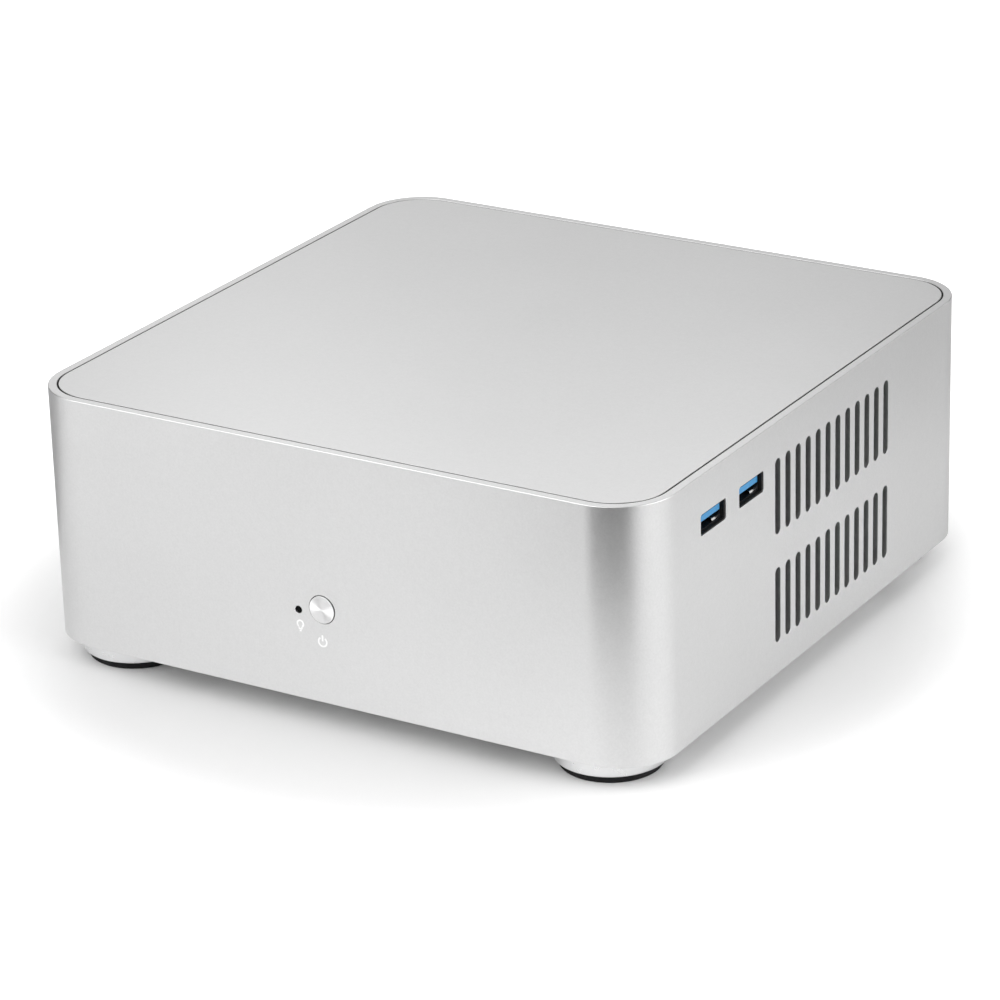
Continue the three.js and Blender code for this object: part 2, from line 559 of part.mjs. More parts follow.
function rearUsb() {
  const { x0, w, h } = REAR_USB;
  const pockets = [];
  const tongues = [];
  for (const column of [0, 1])
    for (const row of [0, 1]) {
      const left = x0 + REAR_USB.left + column * (w / 2);
      const low = portZ + REAR_USB.low + row * (h / 2);
      const right = left + DATA_PORT.openW;
      const top = low + DATA_PORT.openH;
      pockets.push(block([left, REAR_FACE - REAR_USB.pocket, low], [right, REAR_FACE + 1, top]));
      const high = top - TONGUE.drop;
      const tongueLeft = (left + right - TONGUE.w) / 2;
      tongues.push(
        block(
          [tongueLeft, REAR_FACE - REAR_USB.root, high - TONGUE.thick],
          [tongueLeft + TONGUE.w, REAR_FACE - TONGUE.recess, high],
        ),
      );
    }
  return join(cut(rearBlock(REAR_USB), ...pockets), ...tongues);
}

function rearOpening({ x0, w, h, openW, openH, pocket }) {
  const left = x0 + (w - openW) / 2;
  const low = portZ + (h - openH) / 2;
  return block([left, REAR_FACE - pocket, low], [left + openW, REAR_FACE + 1, low + openH]);
}

function rearVideo() {
  const middle = REAR_VIDEO.x0 + REAR_VIDEO.w / 2;
  const z = portZ + REAR_VIDEO.h / 2;
  const { w, thick, recess, root } = VIDEO_TONGUE;
  const low = [middle - w / 2, REAR_FACE - root, z - thick / 2];
  const tongue = block(low, [middle + w / 2, REAR_FACE - recess, z + thick / 2]);
  return join(cut(rearBlock(REAR_VIDEO), rearOpening(REAR_VIDEO)), tongue);
}

function rearAudio() {
  const holes = [0, 1, 2].map((i) => {
    const at = [REAR_AUDIO.x0 + REAR_AUDIO.w / 2, 0, portZ + REAR_AUDIO.first + i * REAR_AUDIO.pitch];
    return rod("y", REAR_AUDIO.hole, REAR_FACE - REAR_AUDIO.pocket, REAR_FACE + 1, at);
  });
  return cut(rearBlock(REAR_AUDIO), ...holes);
}

add("rear_usb_ports", rearUsb(), "steel");
add("rear_network_port", cut(rearBlock(REAR_NET), rearOpening(REAR_NET)), "steel");
add("rear_video_port", rearVideo(), "steel");
add("rear_audio_port", rearAudio(), "blackPlastic");

function ioShield() {
  const plate = block(
    [-APERTURE.w / 2 - SHIELD.over, SHIELD.back - SHIELD.thick, APERTURE.z - SHIELD.over],
    [APERTURE.w / 2 + SHIELD.over, SHIELD.back, APERTURE.z + APERTURE.h + SHIELD.over],
  );
  const windows = [REAR_USB, REAR_NET, REAR_VIDEO, REAR_AUDIO].map(({ x0, w, h }) =>
    block(
      [x0 - SHIELD.gap, SHIELD.back - 2, portZ - SHIELD.gap],
      [x0 + w + SHIELD.gap, SHIELD.back + 1, portZ + h + SHIELD.gap],
    ),
  );
  return cut(plate, ...windows);
}
add("io_shield", ioShield(), "steel");

// ---- power: board in the main board's supply socket, round inlet in the rear wall ----
const supplyZ = BOARD_TOP + SUPPLY.socketTall + FIT;
const cardLow = supplyZ + SUPPLY.edgeTall - BITE;
const CARD = { over: 1, front: -70, back: -68.4, top: supplyZ + 28 };
const onCard = (x0, x1, y0, y1, z0, z1) =>
  block([SUPPLY.x0 + x0, y0, supplyZ + z0], [SUPPLY.x0 + x1, y1, supplyZ + z1]);
add(
  "power_board",
  join(
    block([SUPPLY.x0, SUPPLY.y0, supplyZ], [SUPPLY.x1, SUPPLY.y1, supplyZ + SUPPLY.edgeTall]),
    block([SUPPLY.x0 - CARD.over, CARD.front, cardLow], [SUPPLY.x1 + CARD.over, CARD.back, CARD.top]),
    onCard(6, 16, CARD.front - 3.5, CARD.front + BITE, 12, 22),
    onCard(22, 32, CARD.front - 3.5, CARD.front + BITE, 12, 22),
    onCard(10, 34, CARD.back - BITE, CARD.back + 3.8, 11, 23),
  ),
  "circuit",
);

const jackAt = [JACK.x, 0, JACK.z];
function dcJack() {
  const flange = rod("y", JACK.flange, HALF + JACK_FLANGE.from, HALF + JACK_FLANGE.to, jackAt);
  const barrel = rod("y", JACK.r, HALF - JACK.length, HALF + 1, jackAt);
  const pit = rod("y", JACK.bore, HALF - JACK_PIT.depth, HALF + 2, jackAt);
  const pin = rod("y", JACK.pin, HALF - JACK_PIT.pinLow, HALF - JACK_PIT.pinTop, jackAt, ROUND_SMALL);
  return join(cut(join(flange, barrel), pit), pin);
}
add("dc_jack", dcJack(), "blackPlastic");

const nut = rod("y", JACK_NUT.r, INNER - JACK_NUT.thick, INNER - FIT, jackAt, HEX);
const nutBore = rod("y", JACK.r + FIT, INNER - JACK_NUT.thick - 1, INNER + 1, jackAt);
add("dc_jack_nut", cut(nut, nutBore), "steel");

// ---- drive on its bracket under the top cover ----
const driveHigh = [DRIVE.x0 + DRIVE.l, DRIVE.y0 + DRIVE.w, DRIVE.z + DRIVE.h];
const driveSocket = block(
  [driveHigh[0] - DRIVE_SOCKET.deep, DRIVE.y0 + DRIVE_SOCKET.y0, DRIVE.z + DRIVE_SOCKET.low],
  [driveHigh[0] + 1, DRIVE.y0 + DRIVE_SOCKET.y1, DRIVE.z + DRIVE_SOCKET.high],
);
add("drive", cut(block([DRIVE.x0, DRIVE.y0, DRIVE.z], driveHigh), driveSocket), "steel");

function driveBracket() {
  const [x0, x1] = [DRIVE.x0 - BRACKET.over, driveHigh[0] + BRACKET.over];
  const [y0, y1] = [DRIVE.y0 - BRACKET.side, driveHigh[1] + BRACKET.side];
  const plateZ = driveHigh[2] + FIT;
  const plate = block([x0, y0, plateZ], [x1, y1, plateZ + BRACKET.thick]);
  const { thick, flangeInset, flangeLow, postInset } = BRACKET;
  const flanges = [y0, y1 - thick].map((low) =>
    block([x0 + flangeInset, low, DRIVE.z + flangeLow], [x1 - flangeInset, low + thick, plateZ + thick / 2]),
  );
  const posts = [x0 + postInset, x1 - postInset].flatMap((x) =>
    [y0 + postInset, y1 - postInset].map((y) =>
      rod("z", BRACKET.post, plateZ + thick - BITE, CEILING_Z - FIT, [x, y, 0], ROUND_SMALL),
    ),
  );
  return join(plate, ...flanges, ...posts);
}
add("drive_bracket", driveBracket(), "steel");

// ---- power button, its return spring, switch, status light and the small board behind them ----
const buttonAt = [BUTTON.x, 0, BUTTON.z];
const FLANGE_FRONT = -INNER + FLANGE_GAP;
const FLANGE_BACK = FLANGE_FRONT + BUTTON_FLANGE.thick;
const STEM_END = SWITCH.plunger - BUTTON_TRAVEL - 0.1;
add(
  "power_button",
  join(
    rod("y", BUTTON.r, -HALF - BUTTON.proud, FLANGE_BACK, buttonAt, ROUND_FINE),
    rod("y", BUTTON_FLANGE.r, FLANGE_FRONT, FLANGE_BACK, buttonAt, ROUND_FINE),
    rod("y", BUTTON.stem, FLANGE_BACK - BITE, STEM_END, buttonAt),
  ),
  "spun",
);

function buttonSpring() {
  const from = FLANGE_BACK + SPRING.gap;
  const to = SWITCH.face - SPRING.gap;
  const points = Array.from({ length: SPRING.points }, (_, i) => {
    const t = i / (SPRING.points - 1);
    const angle = t * SPRING.turns * Math.PI * 2;
    const [u, v] = [SPRING.r * Math.cos(angle), SPRING.r * Math.sin(angle)];
    return new THREE.Vector3(BUTTON.x + u, from + (to - from) * t, BUTTON.z + v);
  });
  const section = new THREE.Shape();
  section.absarc(0, 0, SPRING.wire, 0, Math.PI * 2);
  const extrudePath = new THREE.CatmullRomCurve3(points);
  const settings = { steps: SPRING.steps, curveSegments: 3, bevelEnabled: false, extrudePath };
  return solid(new THREE.ExtrudeGeometry(section, settings));
}
add("button_spring", buttonSpring(), "steel");

const switchBody = block(
  [BUTTON.x - SWITCH.half, SWITCH.face, BUTTON.z - SWITCH.half],
  [BUTTON.x + SWITCH.half, PANEL.y - FIT, BUTTON.z + SWITCH.half],
);
const plunger = rod("y", SWITCH.plungerR, SWITCH.plunger, SWITCH.face + BITE, buttonAt);
add("power_switch", join(switchBody, plunger), "blackPlastic");

const panelBack = PANEL.y + PANEL.thick;
const panelBoltAt = [FRONT_BOSS.right, 0, FRONT_BOSS.z];
const panelPlate = block([PANEL.x0, PANEL.y, PANEL.z0], [PANEL.x1, panelBack, PANEL.z1]);
const panelHole = rod("y", PANEL.hole, PANEL.y - 1, panelBack + 1, panelBoltAt, ROUND_SMALL);
add("front_board", cut(panelPlate, panelHole), "circuit");

function panelScrew() {
  const seat = panelBack + FIT;
  const top = seat + PANEL_BOLT.headTall;
  const shank = rod("y", PANEL_BOLT.r, PANEL_BOLT.end, seat + BITE, panelBoltAt, ROUND_SMALL);
  const head = rod("y", PANEL_BOLT.head, seat, top, panelBoltAt);
  const key = rod("y", PANEL_BOLT.r, top - PANEL_BOLT.headTall * KEY_DEPTH, top + 1, panelBoltAt, HEX);
  return cut(join(shank, head), key);
}
add("front_board_screw", panelScrew(), "steel");

const lightAt = [LIGHT.x, 0, LIGHT.z];
add(
  "status_light",
  join(
    rod("y", LIGHT.lens, -HALF + LIGHT.recess, LIGHT_Y.shoulder + BITE, lightAt),
    rod("y", LIGHT.body, LIGHT_Y.shoulder, LIGHT_Y.base + BITE, lightAt),
    rod("y", LIGHT.base, LIGHT_Y.base, PANEL.y - FIT, lightAt),
  ),
  "smoked",
);

// ---- side data sockets on their own board ----
const portLow = DATA_CUT.z - DATA_PORT.h / 2;
const portHigh = DATA_CUT.z + DATA_PORT.h / 2;
const portFront = HALF - DATA_PORT.sink;
const portBack = portFront - DATA_PORT.depth;
const openHigh = DATA_CUT.z + DATA_PORT.openH / 2;
const openLow = DATA_CUT.z - DATA_PORT.openH / 2;
const portOutline = roundedOutline(DATA_PORT.w, DATA_PORT.h, DATA_CUT.r - 0.1);

for (const [where, y] of Object.entries(DATA_Y)) {
  const [left, right] = [y - DATA_PORT.openW / 2, y + DATA_PORT.openW / 2];
  const housing = drawn(portOutline, "x", portBack, portFront, [0, y, DATA_CUT.z], 1);
  const bore = block([portBack - 1, left, openLow], [portFront + 1, right, openHigh]);
  add("usb_port_" + where, cut(housing, bore), "blackPlastic");
  const tongueHigh = openHigh - TONGUE.drop;
  const rootEnd = portBack + TONGUE.base;
  const tongue = join(
    block([portBack, left + FIT, openLow + FIT], [rootEnd, right - FIT, openHigh - FIT]),
    block(
      [rootEnd - BITE, y - TONGUE.w / 2, tongueHigh - TONGUE.thick],
      [portFront - TONGUE.recess, y + TONGUE.w / 2, tongueHigh],
    ),
  );
  add("usb_tongue_" + where, tongue, "bluePlastic");
}

const sideBoardTop = portLow - FIT;
const sideBoardLow = sideBoardTop - DATA_BOARD.thick;
const dataPlate = block(
  [DATA_BOARD.x0, DATA_BOARD.y0, sideBoardLow],
  [INNER - 0.5, DATA_BOARD.y1, sideBoardTop],
);
const dataHole = rod("z", DATA_BOARD.hole, sideBoardLow - 1, sideBoardTop + 1, dataBossAt, ROUND_SMALL);
add("usb_board", cut(dataPlate, dataHole), "circuit");
add(
  "usb_board_screw",
  uprightScrew({
    x: dataBossAt[0], y: dataBossAt[1], headFrom: sideBoardTop + FIT + DATA_BOLT.headTall,
    headTo: sideBoardTop + FIT, head: DATA_BOLT.head, shankTo: DATA_BOSS.top - DATA_BOLT.length,
    r: DATA_BOLT.r, socket: DATA_BOLT.r,
  }),
  "steel",
);

// ---- internal leads, each held at both ends ----
const onHeader = ([x, y]) => [x, y, HEADER.top + FIT + PLUG.header[2]];
const dataPlug = [77, -42, sideBoardLow - FIT - PLUG.data[2]];
const panelPlug = [-6, panelBack + 0.3 + PLUG.panel[1], BASE_Z + 22];
const drivePlug = [16.5, -60.5, DRIVE.z + 3.5];
const inletPlug = [JACK.x, HALF - JACK.length - 0.4 - PLUG.inlet[1], JACK.z];
const supplyPlug = [SUPPLY.x1 + 5.4, -69.2, supplyZ + 18];
const runs = {
  usb_cable: [DATA_LEAD, dataPlug, PLUG.data, onHeader(HEADER.usb), PLUG.header],
  front_panel_cable: [PANEL_LEAD, panelPlug, PLUG.panel, onHeader(HEADER.panel), PLUG.header],
  drive_cable: [DRIVE_LEAD, drivePlug, PLUG.drive, onHeader(HEADER.drive), PLUG.header],
  dc_cable: [INLET_LEAD, inletPlug, PLUG.inlet, supplyPlug, PLUG.supply],
};
for (const [name, [{ r, route }, start, startPlug, end, endPlug]] of Object.entries(runs))
  add(name, lead([start, ...route, end], r, [startPlug, endPlug]), "lead");

export default object;
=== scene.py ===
"""A low square desktop computer in a bead-blasted aluminium case, dressed around its fixed frame."""

import json
import logging
import math
from dataclasses import dataclass, field
from enum import Enum
from typing import Sequence

import bmesh
import bpy
from mathutils import Matrix, Vector


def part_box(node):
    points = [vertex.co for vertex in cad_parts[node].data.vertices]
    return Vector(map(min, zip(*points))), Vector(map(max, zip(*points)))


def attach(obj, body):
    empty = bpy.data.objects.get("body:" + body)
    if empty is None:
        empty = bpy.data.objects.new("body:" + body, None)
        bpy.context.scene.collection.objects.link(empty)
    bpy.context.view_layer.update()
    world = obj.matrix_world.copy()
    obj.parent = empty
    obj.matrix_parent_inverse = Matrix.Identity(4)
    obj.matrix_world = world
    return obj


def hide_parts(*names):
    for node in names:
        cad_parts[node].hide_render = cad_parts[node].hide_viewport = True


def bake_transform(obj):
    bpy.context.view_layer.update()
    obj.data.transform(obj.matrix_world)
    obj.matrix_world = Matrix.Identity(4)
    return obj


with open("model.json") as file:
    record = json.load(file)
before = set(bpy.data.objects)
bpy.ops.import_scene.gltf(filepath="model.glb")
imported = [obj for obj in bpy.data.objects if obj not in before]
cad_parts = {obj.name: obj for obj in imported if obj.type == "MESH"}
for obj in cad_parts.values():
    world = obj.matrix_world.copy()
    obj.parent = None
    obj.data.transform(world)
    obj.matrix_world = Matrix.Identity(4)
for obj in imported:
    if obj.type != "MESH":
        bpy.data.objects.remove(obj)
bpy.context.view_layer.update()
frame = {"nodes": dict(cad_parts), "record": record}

MM = 0.001
CASE_BODY = "case"
CORNERS = ("front_left", "front_right", "rear_left", "rear_right")

Colour = tuple[float, float, float]
Pair = tuple[float, float]
Point = tuple[float, float, float]
log = logging.getLogger("desktop_computer")


# ---------------------------------------------------------------- shader wires


class Wire:
    """A shader socket that takes part in arithmetic.

    An expression on wires, or on wires and plain numbers, adds the Math nodes that work it out.
    """

    def __init__(self, paint: "Paint", socket: bpy.types.NodeSocket) -> None:
        """Holds one output socket.

        Args:
            paint: the material that the socket belongs to.
            socket: the output socket.
        """
        self.paint = paint
        self.socket = socket

    def _math(self, operation: str, *terms: "Wire | float") -> "Wire":
        """Adds one Math node.

        Args:
            operation: the Math node's operation.
            terms: its inputs in order.

        Returns:
            The node's result.
        """
        return self.paint.node("ShaderNodeMath", {"operation": operation}, dict(enumerate(terms)))[0]

    def __add__(self, other: "Wire | float") -> "Wire":
        """self + other."""
        return self._math("ADD", self, other)

    def __radd__(self, other: float) -> "Wire":
        """other + self."""
        return self._math("ADD", other, self)

    def __sub__(self, other: "Wire | float") -> "Wire":
        """self - other."""
        return self._math("SUBTRACT", self, other)

    def __rsub__(self, other: float) -> "Wire":
        """other - self."""
        return self._math("SUBTRACT", other, self)

    def __mul__(self, other: "Wire | float") -> "Wire":
        """self * other."""
        return self._math("MULTIPLY", self, other)

    def __rmul__(self, other: float) -> "Wire":
        """other * self."""
        return self._math("MULTIPLY", other, self)

    def __truediv__(self, other: "Wire | float") -> "Wire":
        """self / other."""
        return self._math("DIVIDE", self, other)

    def __pow__(self, other: "Wire | float") -> "Wire":
        """self to the power other."""
        return self._math("POWER", self, other)

    def over(self, limit: float) -> "Wire":
        """1 where this wire is above limit, and 0 elsewhere."""
        return self._math("GREATER_THAN", self, limit)

    def wave(self) -> "Wire":
        """The sine of this wire."""
        return self._math("SINE", self)

    def exp(self) -> "Wire":
        """e to the power of this wire."""
        return self._math("EXPONENT", self)


class Outputs:
    """A node's output sockets, by name or number."""

    def __init__(self, paint: "Paint", made: bpy.types.Node) -> None:
        """Holds one node."""
        self.paint = paint
        self.made = made

    def __getitem__(self, key: str | int) -> Wire:
        """One output as a wire."""
        return Wire(self.paint, self.made.outputs[key])


class Paint:
    """One node material, or the world's, while it is put together."""

    def __init__(self, name: str, kind: str = "materials") -> None:
        """Starts with no node but the coordinates.

        Args:
            name: the material's name.
            kind: the collection it is made in, "materials" or "worlds".
        """
        self.material = getattr(bpy.data, kind).new(name)
        self.material.use_nodes = True
        self.tree = self.material.node_tree
        self.tree.nodes.clear()
        self.where = self.node("ShaderNodeTexCoord")["Object" if kind == "materials" else "Generated"]

    def node(self, kind: str, settings: dict | None = None, inputs: dict | None = None) -> Outputs:
        """Adds any node.

        Args:
            kind: the node's type.
            settings: its properties, which are set first.
            inputs: values or wires by socket name or number.

        Returns:
            The node's outputs.
        """
        made = self.tree.nodes.new(kind)
        for key, value in (settings or {}).items():
            setattr(made, key, value)
        for key, value in (inputs or {}).items():
            if isinstance(value, Wire):
                self.tree.links.new(value.socket, made.inputs[key])
            else:
                made.inputs[key].default_value = value
        return Outputs(self, made)

    def noise(self, size: float, detail: float = 2.0, where: Wire | None = None) -> Wire:
        """Cloudy noise from 0 to 1.

        Args:
            size: the width of one patch in metres.
            detail: how many finer layers it has.
            where: the coordinates, which are the piece's own unless given.

        Returns:
            The noise.
        """
        sockets = {"Vector": where or self.where, "Scale": 1 / size, "Detail": detail}
        return self.node("ShaderNodeTexNoise", None, sockets)["Fac"]

    def stretched(self, scale: Point) -> Wire:
        """The piece's coordinates, scaled along each axis.

        Args:
            scale: the factor along X, Y and Z.

        Returns:
            The scaled coordinates.
        """
        return self.vector("MULTIPLY", self.where, scale)[0]

    def vector(self, operation: str, first: Wire, second: Point | None = None) -> Outputs:
        """One Vector Math node.

        Args:
            operation: what it does.
            first: its first input.
            second: its second input.

        Returns:
            The node's outputs.
        """
        inputs = {0: first} if second is None else {0: first, 1: second}
        return self.node("ShaderNodeVectorMath", {"operation": operation}, inputs)

    def distance(self, centre: Point, keep: Point) -> Wire:
        """The distance from an axis.

        Args:
            centre: a point on the axis.
            keep: 1 for each direction across the axis and 0 along it.

        Returns:
            The distance in metres.
        """
        flat = self.vector("MULTIPLY", self.vector("SUBTRACT", self.where, centre)[0], keep)[0]
        return self.vector("LENGTH", flat)["Value"]

    def mix(self, first: "Wire | Colour", second: "Wire | Colour", factor: Wire | float) -> Wire:
        """Two colours mixed.

        Args:
            first: the colour at 0.
            second: the colour at 1.
            factor: the share of the second.

        Returns:
            The mixed colour.
        """
        first, second = (c if isinstance(c, Wire) else (*c, 1.0) for c in (first, second))
        settings = {"data_type": "RGBA", "clamp_factor": True}
        return self.node("ShaderNodeMix", settings, {0: factor, 6: first, 7: second})[2]

    def fade(self, value: Wire, start: float, end: float) -> Wire:
        """A soft step.

        Args:
            value: the wire that it follows.
            start: where it leaves 0.
            end: where it reaches 1.

        Returns:
            The step, from 0 to 1.
        """
        sockets = {"Value": value, "From Min": start, "From Max": end}
        return self.node("ShaderNodeMapRange", {"interpolation_type": "SMOOTHSTEP"}, sockets)[0]

    def tone(self, colour: Colour, low: float, high: float, mask: Wire) -> Wire:
        """A colour whose brightness varies.

        Args:
            colour: the colour.
            low: its brightness where the mask is 0.
            high: its brightness where the mask is 1.
            mask: where it lies between the two.

        Returns:
            The varied colour.
        """
        return self.mix(shaded(colour, low), shaded(colour, high), mask)

    def bump(self, height: Wire, depth: float) -> Wire:
        """A normal that follows a height.

        Args:
            height: the height from 0 to 1.
            depth: how deep it goes in metres.

        Returns:
            The normal.
        """
        return self.node("ShaderNodeBump", None, {"Height": height, "Distance": depth, "Strength": 1.0})[0]

    def surface(self, **sockets: "Wire | float | Colour") -> bpy.types.Material:
        """Ends the material in a Principled shader.

        Args:
            sockets: the shader's sockets, with _ for a space in their names.

        Returns:
            The finished material.
        """
        inputs = {}
        for key, value in sockets.items():
            whole_colour = isinstance(value, tuple) and len(value) == 3
            inputs[key.replace("_", " ")] = (*value, 1.0) if whole_colour else value
        shader = self.node("ShaderNodeBsdfPrincipled", None, inputs)
        self.node("ShaderNodeOutputMaterial", None, {"Surface": shader["BSDF"]})
        return self.material


def shaded(colour: Colour, factor: float) -> Colour:
    """A colour made lighter or darker.

    Args:
        colour: the colour.
        factor: what each of its parts is multiplied by.

    Returns:
        The new colour.
    """
    return tuple(min(1.0, part * factor) for part in colour)


def direction(azimuth: float, elevation: float = 0.0) -> Point:
    """A direction as a vector of length 1.

    Args:
        azimuth: degrees from -Y towards +X.
        elevation: degrees above the horizon.

    Returns:
        The vector.
    """
    a, e = math.radians(azimuth), math.radians(elevation)
    return (math.sin(a) * math.cos(e), -math.cos(a) * math.cos(e), math.sin(e))


# ---------------------------------------------------------------- finishes


@dataclass(frozen=True)
class BlastedAluminium:
    """Bead-blasted and clear anodised aluminium, with a fine sparkling grain."""

    name: str = "blasted_aluminium"
    colour: Colour = (0.70, 0.70, 0.70)
    roughness: float = 0.36
    grain: float = 0.6 * MM
    coarse: float = 1.86 * MM
    patch: float = 38 * MM
    contrast: float = 0.1
    depth: float = 0.045 * MM
    skin: Point | None = None
    bare: float = 0.03

    def build(self) -> bpy.types.Material:
        """Makes the material, rougher on the cut metal inside the skin's half sizes if it has a skin.

        Returns:
            The material.
        """
        paint = Paint(self.name)
        fine = paint.noise(self.grain, 2.0)
        coarse = paint.noise(self.coarse, 1.0)
        cloud = paint.noise(self.patch, 2.0)
        grain = fine * 0.75 + coarse * 0.25
        tone = paint.tone(self.colour, 1 - self.contrast, 1 + self.contrast, grain * 0.8 + cloud * 0.2)
        roughness = self.roughness + (fine - 0.5) * 0.14 + (cloud - 0.5) * 0.04
        if self.skin:
            within = 1.0
            for limit, keep in zip(self.skin, ((1.0, 0.0, 0.0), (0.0, 1.0, 0.0), (0.0, 0.0, 1.0))):
                within = (1 - paint.distance((0.0, 0.0, 0.0), keep).over(limit)) * within
            roughness = roughness + within * self.bare
        return paint.surface(
            Base_Color=tone, Metallic=1.0, Roughness=roughness, Normal=paint.bump(grain, self.depth)
        )


@dataclass(frozen=True)
class TurnedAluminium:
    """Aluminium faced on a lathe, with fine rings around the piece's own Z axis that draw reflections out."""

    name: str
    centre: Point
    colour: Colour = (0.74, 0.742, 0.745)
    roughness: float = 0.28
    spun: float = 0.0
    pitch: float = 0.16 * MM
    depth: float = 0.004 * MM
    patch: float = 3 * MM
    contrast: float = 0.03

    def build(self) -> bpy.types.Material:
        """Makes the material.

        Returns:
            The material.
        """
        paint = Paint(self.name)
        along = paint.distance(self.centre, (1.0, 1.0, 0.0)) + paint.distance(self.centre, (0.0, 0.0, 1.0))
        rings = paint.noise(self.pitch, 3.0, paint.node("ShaderNodeCombineXYZ", None, {0: along})[0])
        grime = paint.noise(self.patch, 2.0)
        return paint.surface(
            Base_Color=paint.tone(self.colour, 1 - self.contrast, 1 + self.contrast, rings),
            Metallic=1.0,
            Roughness=self.roughness + (grime - 0.5) * 0.04,
            Anisotropic=self.spun,
            Normal=paint.bump(rings, self.depth),
        )


@dataclass(frozen=True)
class MouldedPlastic:
    """Injection-moulded plastic with a fine spark-eroded texture."""

    name: str
    colour: Colour
    roughness: float = 0.45
    grain: float = 0.22 * MM
    depth: float = 0.01 * MM
    gloss: float = 0.5
    patch: float = 6 * MM
    contrast: float = 0.18

    def build(self) -> bpy.types.Material:
        """Makes the material.

        Returns:
            The material.
        """
        paint = Paint(self.name)
        fine = paint.noise(self.grain, 3.0)
        mottle = paint.noise(self.patch, 2.0) * 0.6 + fine * 0.4
        return paint.surface(
            Base_Color=paint.tone(self.colour, 1 - self.contrast, 1 + self.contrast, mottle),
            Roughness=self.roughness + (fine - 0.5) * 0.12,
            Specular_IOR_Level=self.gloss,
            Normal=paint.bump(fine, self.depth),
        )


@dataclass(frozen=True)
class Rubber:
    """Matt moulded rubber with a dusty bloom."""

    name: str = "pad_rubber"
    colour: Colour = (0.008, 0.008, 0.0085)
    roughness: float = 0.72
    pore: float = 0.35 * MM
    depth: float = 0.03 * MM
    patch: float = 5 * MM
    dust: float = 2.2

    def build(self) -> bpy.types.Material:
        """Makes the material.

        Returns:
            The material.
        """
        paint = Paint(self.name)
        pores = paint.noise(self.pore, 3.0)
        bloom = paint.noise(self.patch, 3.0)
        return paint.surface(
            Base_Color=paint.tone(self.colour, 1.0, self.dust, bloom * pores),
            Roughness=self.roughness + bloom * 0.2,
            Specular_IOR_Level=0.2,
            Normal=paint.bump(pores, self.depth),
        )


@dataclass(frozen=True)
class PlatedMetal:
    """Stamped metal with a drawn grain along one direction."""

    name: str
    colour: Colour
    roughness: float = 0.32
    grain: Point = (400.0, 9000.0, 9000.0)
    depth: float = 0.006 * MM
    patch: float = 7 * MM

    def build(self) -> bpy.types.Material:
        """Makes the material.

        Returns:
            The material.
        """
        paint = Paint(self.name)
        streaks = paint.noise(1.0, 2.0, paint.stretched(self.grain))
        cloud = paint.noise(self.patch, 3.0)
        return paint.surface(
            Base_Color=paint.tone(self.colour, 0.88, 1.08, streaks * 0.6 + cloud * 0.4),
            Metallic=1.0,
            Roughness=self.roughness + (streaks - 0.5) * 0.16,
            Normal=paint.bump(streaks, self.depth),
        )


@dataclass(frozen=True)
class CircuitBoard:
    """Green solder mask with copper tracks that show through it, and bare pads."""

    name: str = "solder_mask"
    mask: Colour = (0.012, 0.06, 0.028)
    track: Colour = (0.03, 0.12, 0.05)
    pad: Colour = (0.62, 0.58, 0.46)
    pad_pitch: float = 2.4 * MM
    bundle: float = 9 * MM
    ripples: float = 90
    copper: float = 0.03 * MM

    def build(self) -> bpy.types.Material:
        """Makes the material.

        Returns:
            The material.
        """
        paint = Paint(self.name)
        cells = paint.node(
            "ShaderNodeTexVoronoi",
            {"distance": "CHEBYCHEV", "feature": "F1"},
            {"Vector": paint.where, "Scale": 1 / self.pad_pitch, "Randomness": 0.35},
        )["Distance"]
        lines = (paint.noise(self.bundle, 0.0) * self.ripples).wave()
        tracks = lines.over(0.25) * (1 - cells.over(0.32))
        pads = 1 - cells.over(0.09)
        return paint.surface(
            Base_Color=paint.mix(paint.mix(self.mask, self.track, tracks), self.pad, pads),
            Metallic=pads,
            Roughness=0.3 + paint.noise(0.8 * MM) * 0.2,
            Normal=paint.bump(tracks + pads, self.copper),
        )


@dataclass(frozen=True)
class SignPaint:
    """White pad printing with a faint speckle."""

    name: str = "sign_paint"
    colour: Colour = (0.91, 0.91, 0.91)
    speck: float = 0.12 * MM
    depth: float = 0.004 * MM

    def build(self) -> bpy.types.Material:
        """Makes the material.

        Returns:
            The material.
        """
        paint = Paint(self.name)
        speckle = paint.noise(self.speck, 2.0)
        return paint.surface(
            Base_Color=paint.tone(self.colour, 0.94, 1.0, speckle),
            Roughness=0.5 + speckle * 0.1,
            Normal=paint.bump(speckle, self.depth),
        )


@dataclass(frozen=True)
class StudioPaper:
    """The pale seamless paper that the computer stands on."""

    name: str = "studio_paper"
    colour: Colour = (0.93, 0.93, 0.93)
    fibre: float = 2 * MM

    def build(self) -> bpy.types.Material:
        """Makes the material.

        Returns:
            The material.
        """
        paint = Paint(self.name)
        tone = paint.tone(self.colour, 0.995, 1.0, paint.noise(self.fibre, 3.0))
        return paint.surface(Base_Color=tone, Roughness=0.9, Specular_IOR_Level=0.1)


class Palette:
    """The computer's finishes, each made into a material once."""

    def __init__(self) -> None:
        """Starts with no material made."""
        self.made: dict[str, bpy.types.Material] = {}

    def material(self, finish: object) -> bpy.types.Material:
        """The material of a finish.

        Args:
            finish: any finish of this file.

        Returns:
            Its material, made when it is first asked for.
        """
        if finish.name not in self.made:
            self.made[finish.name] = finish.build()
        return self.made[finish.name]


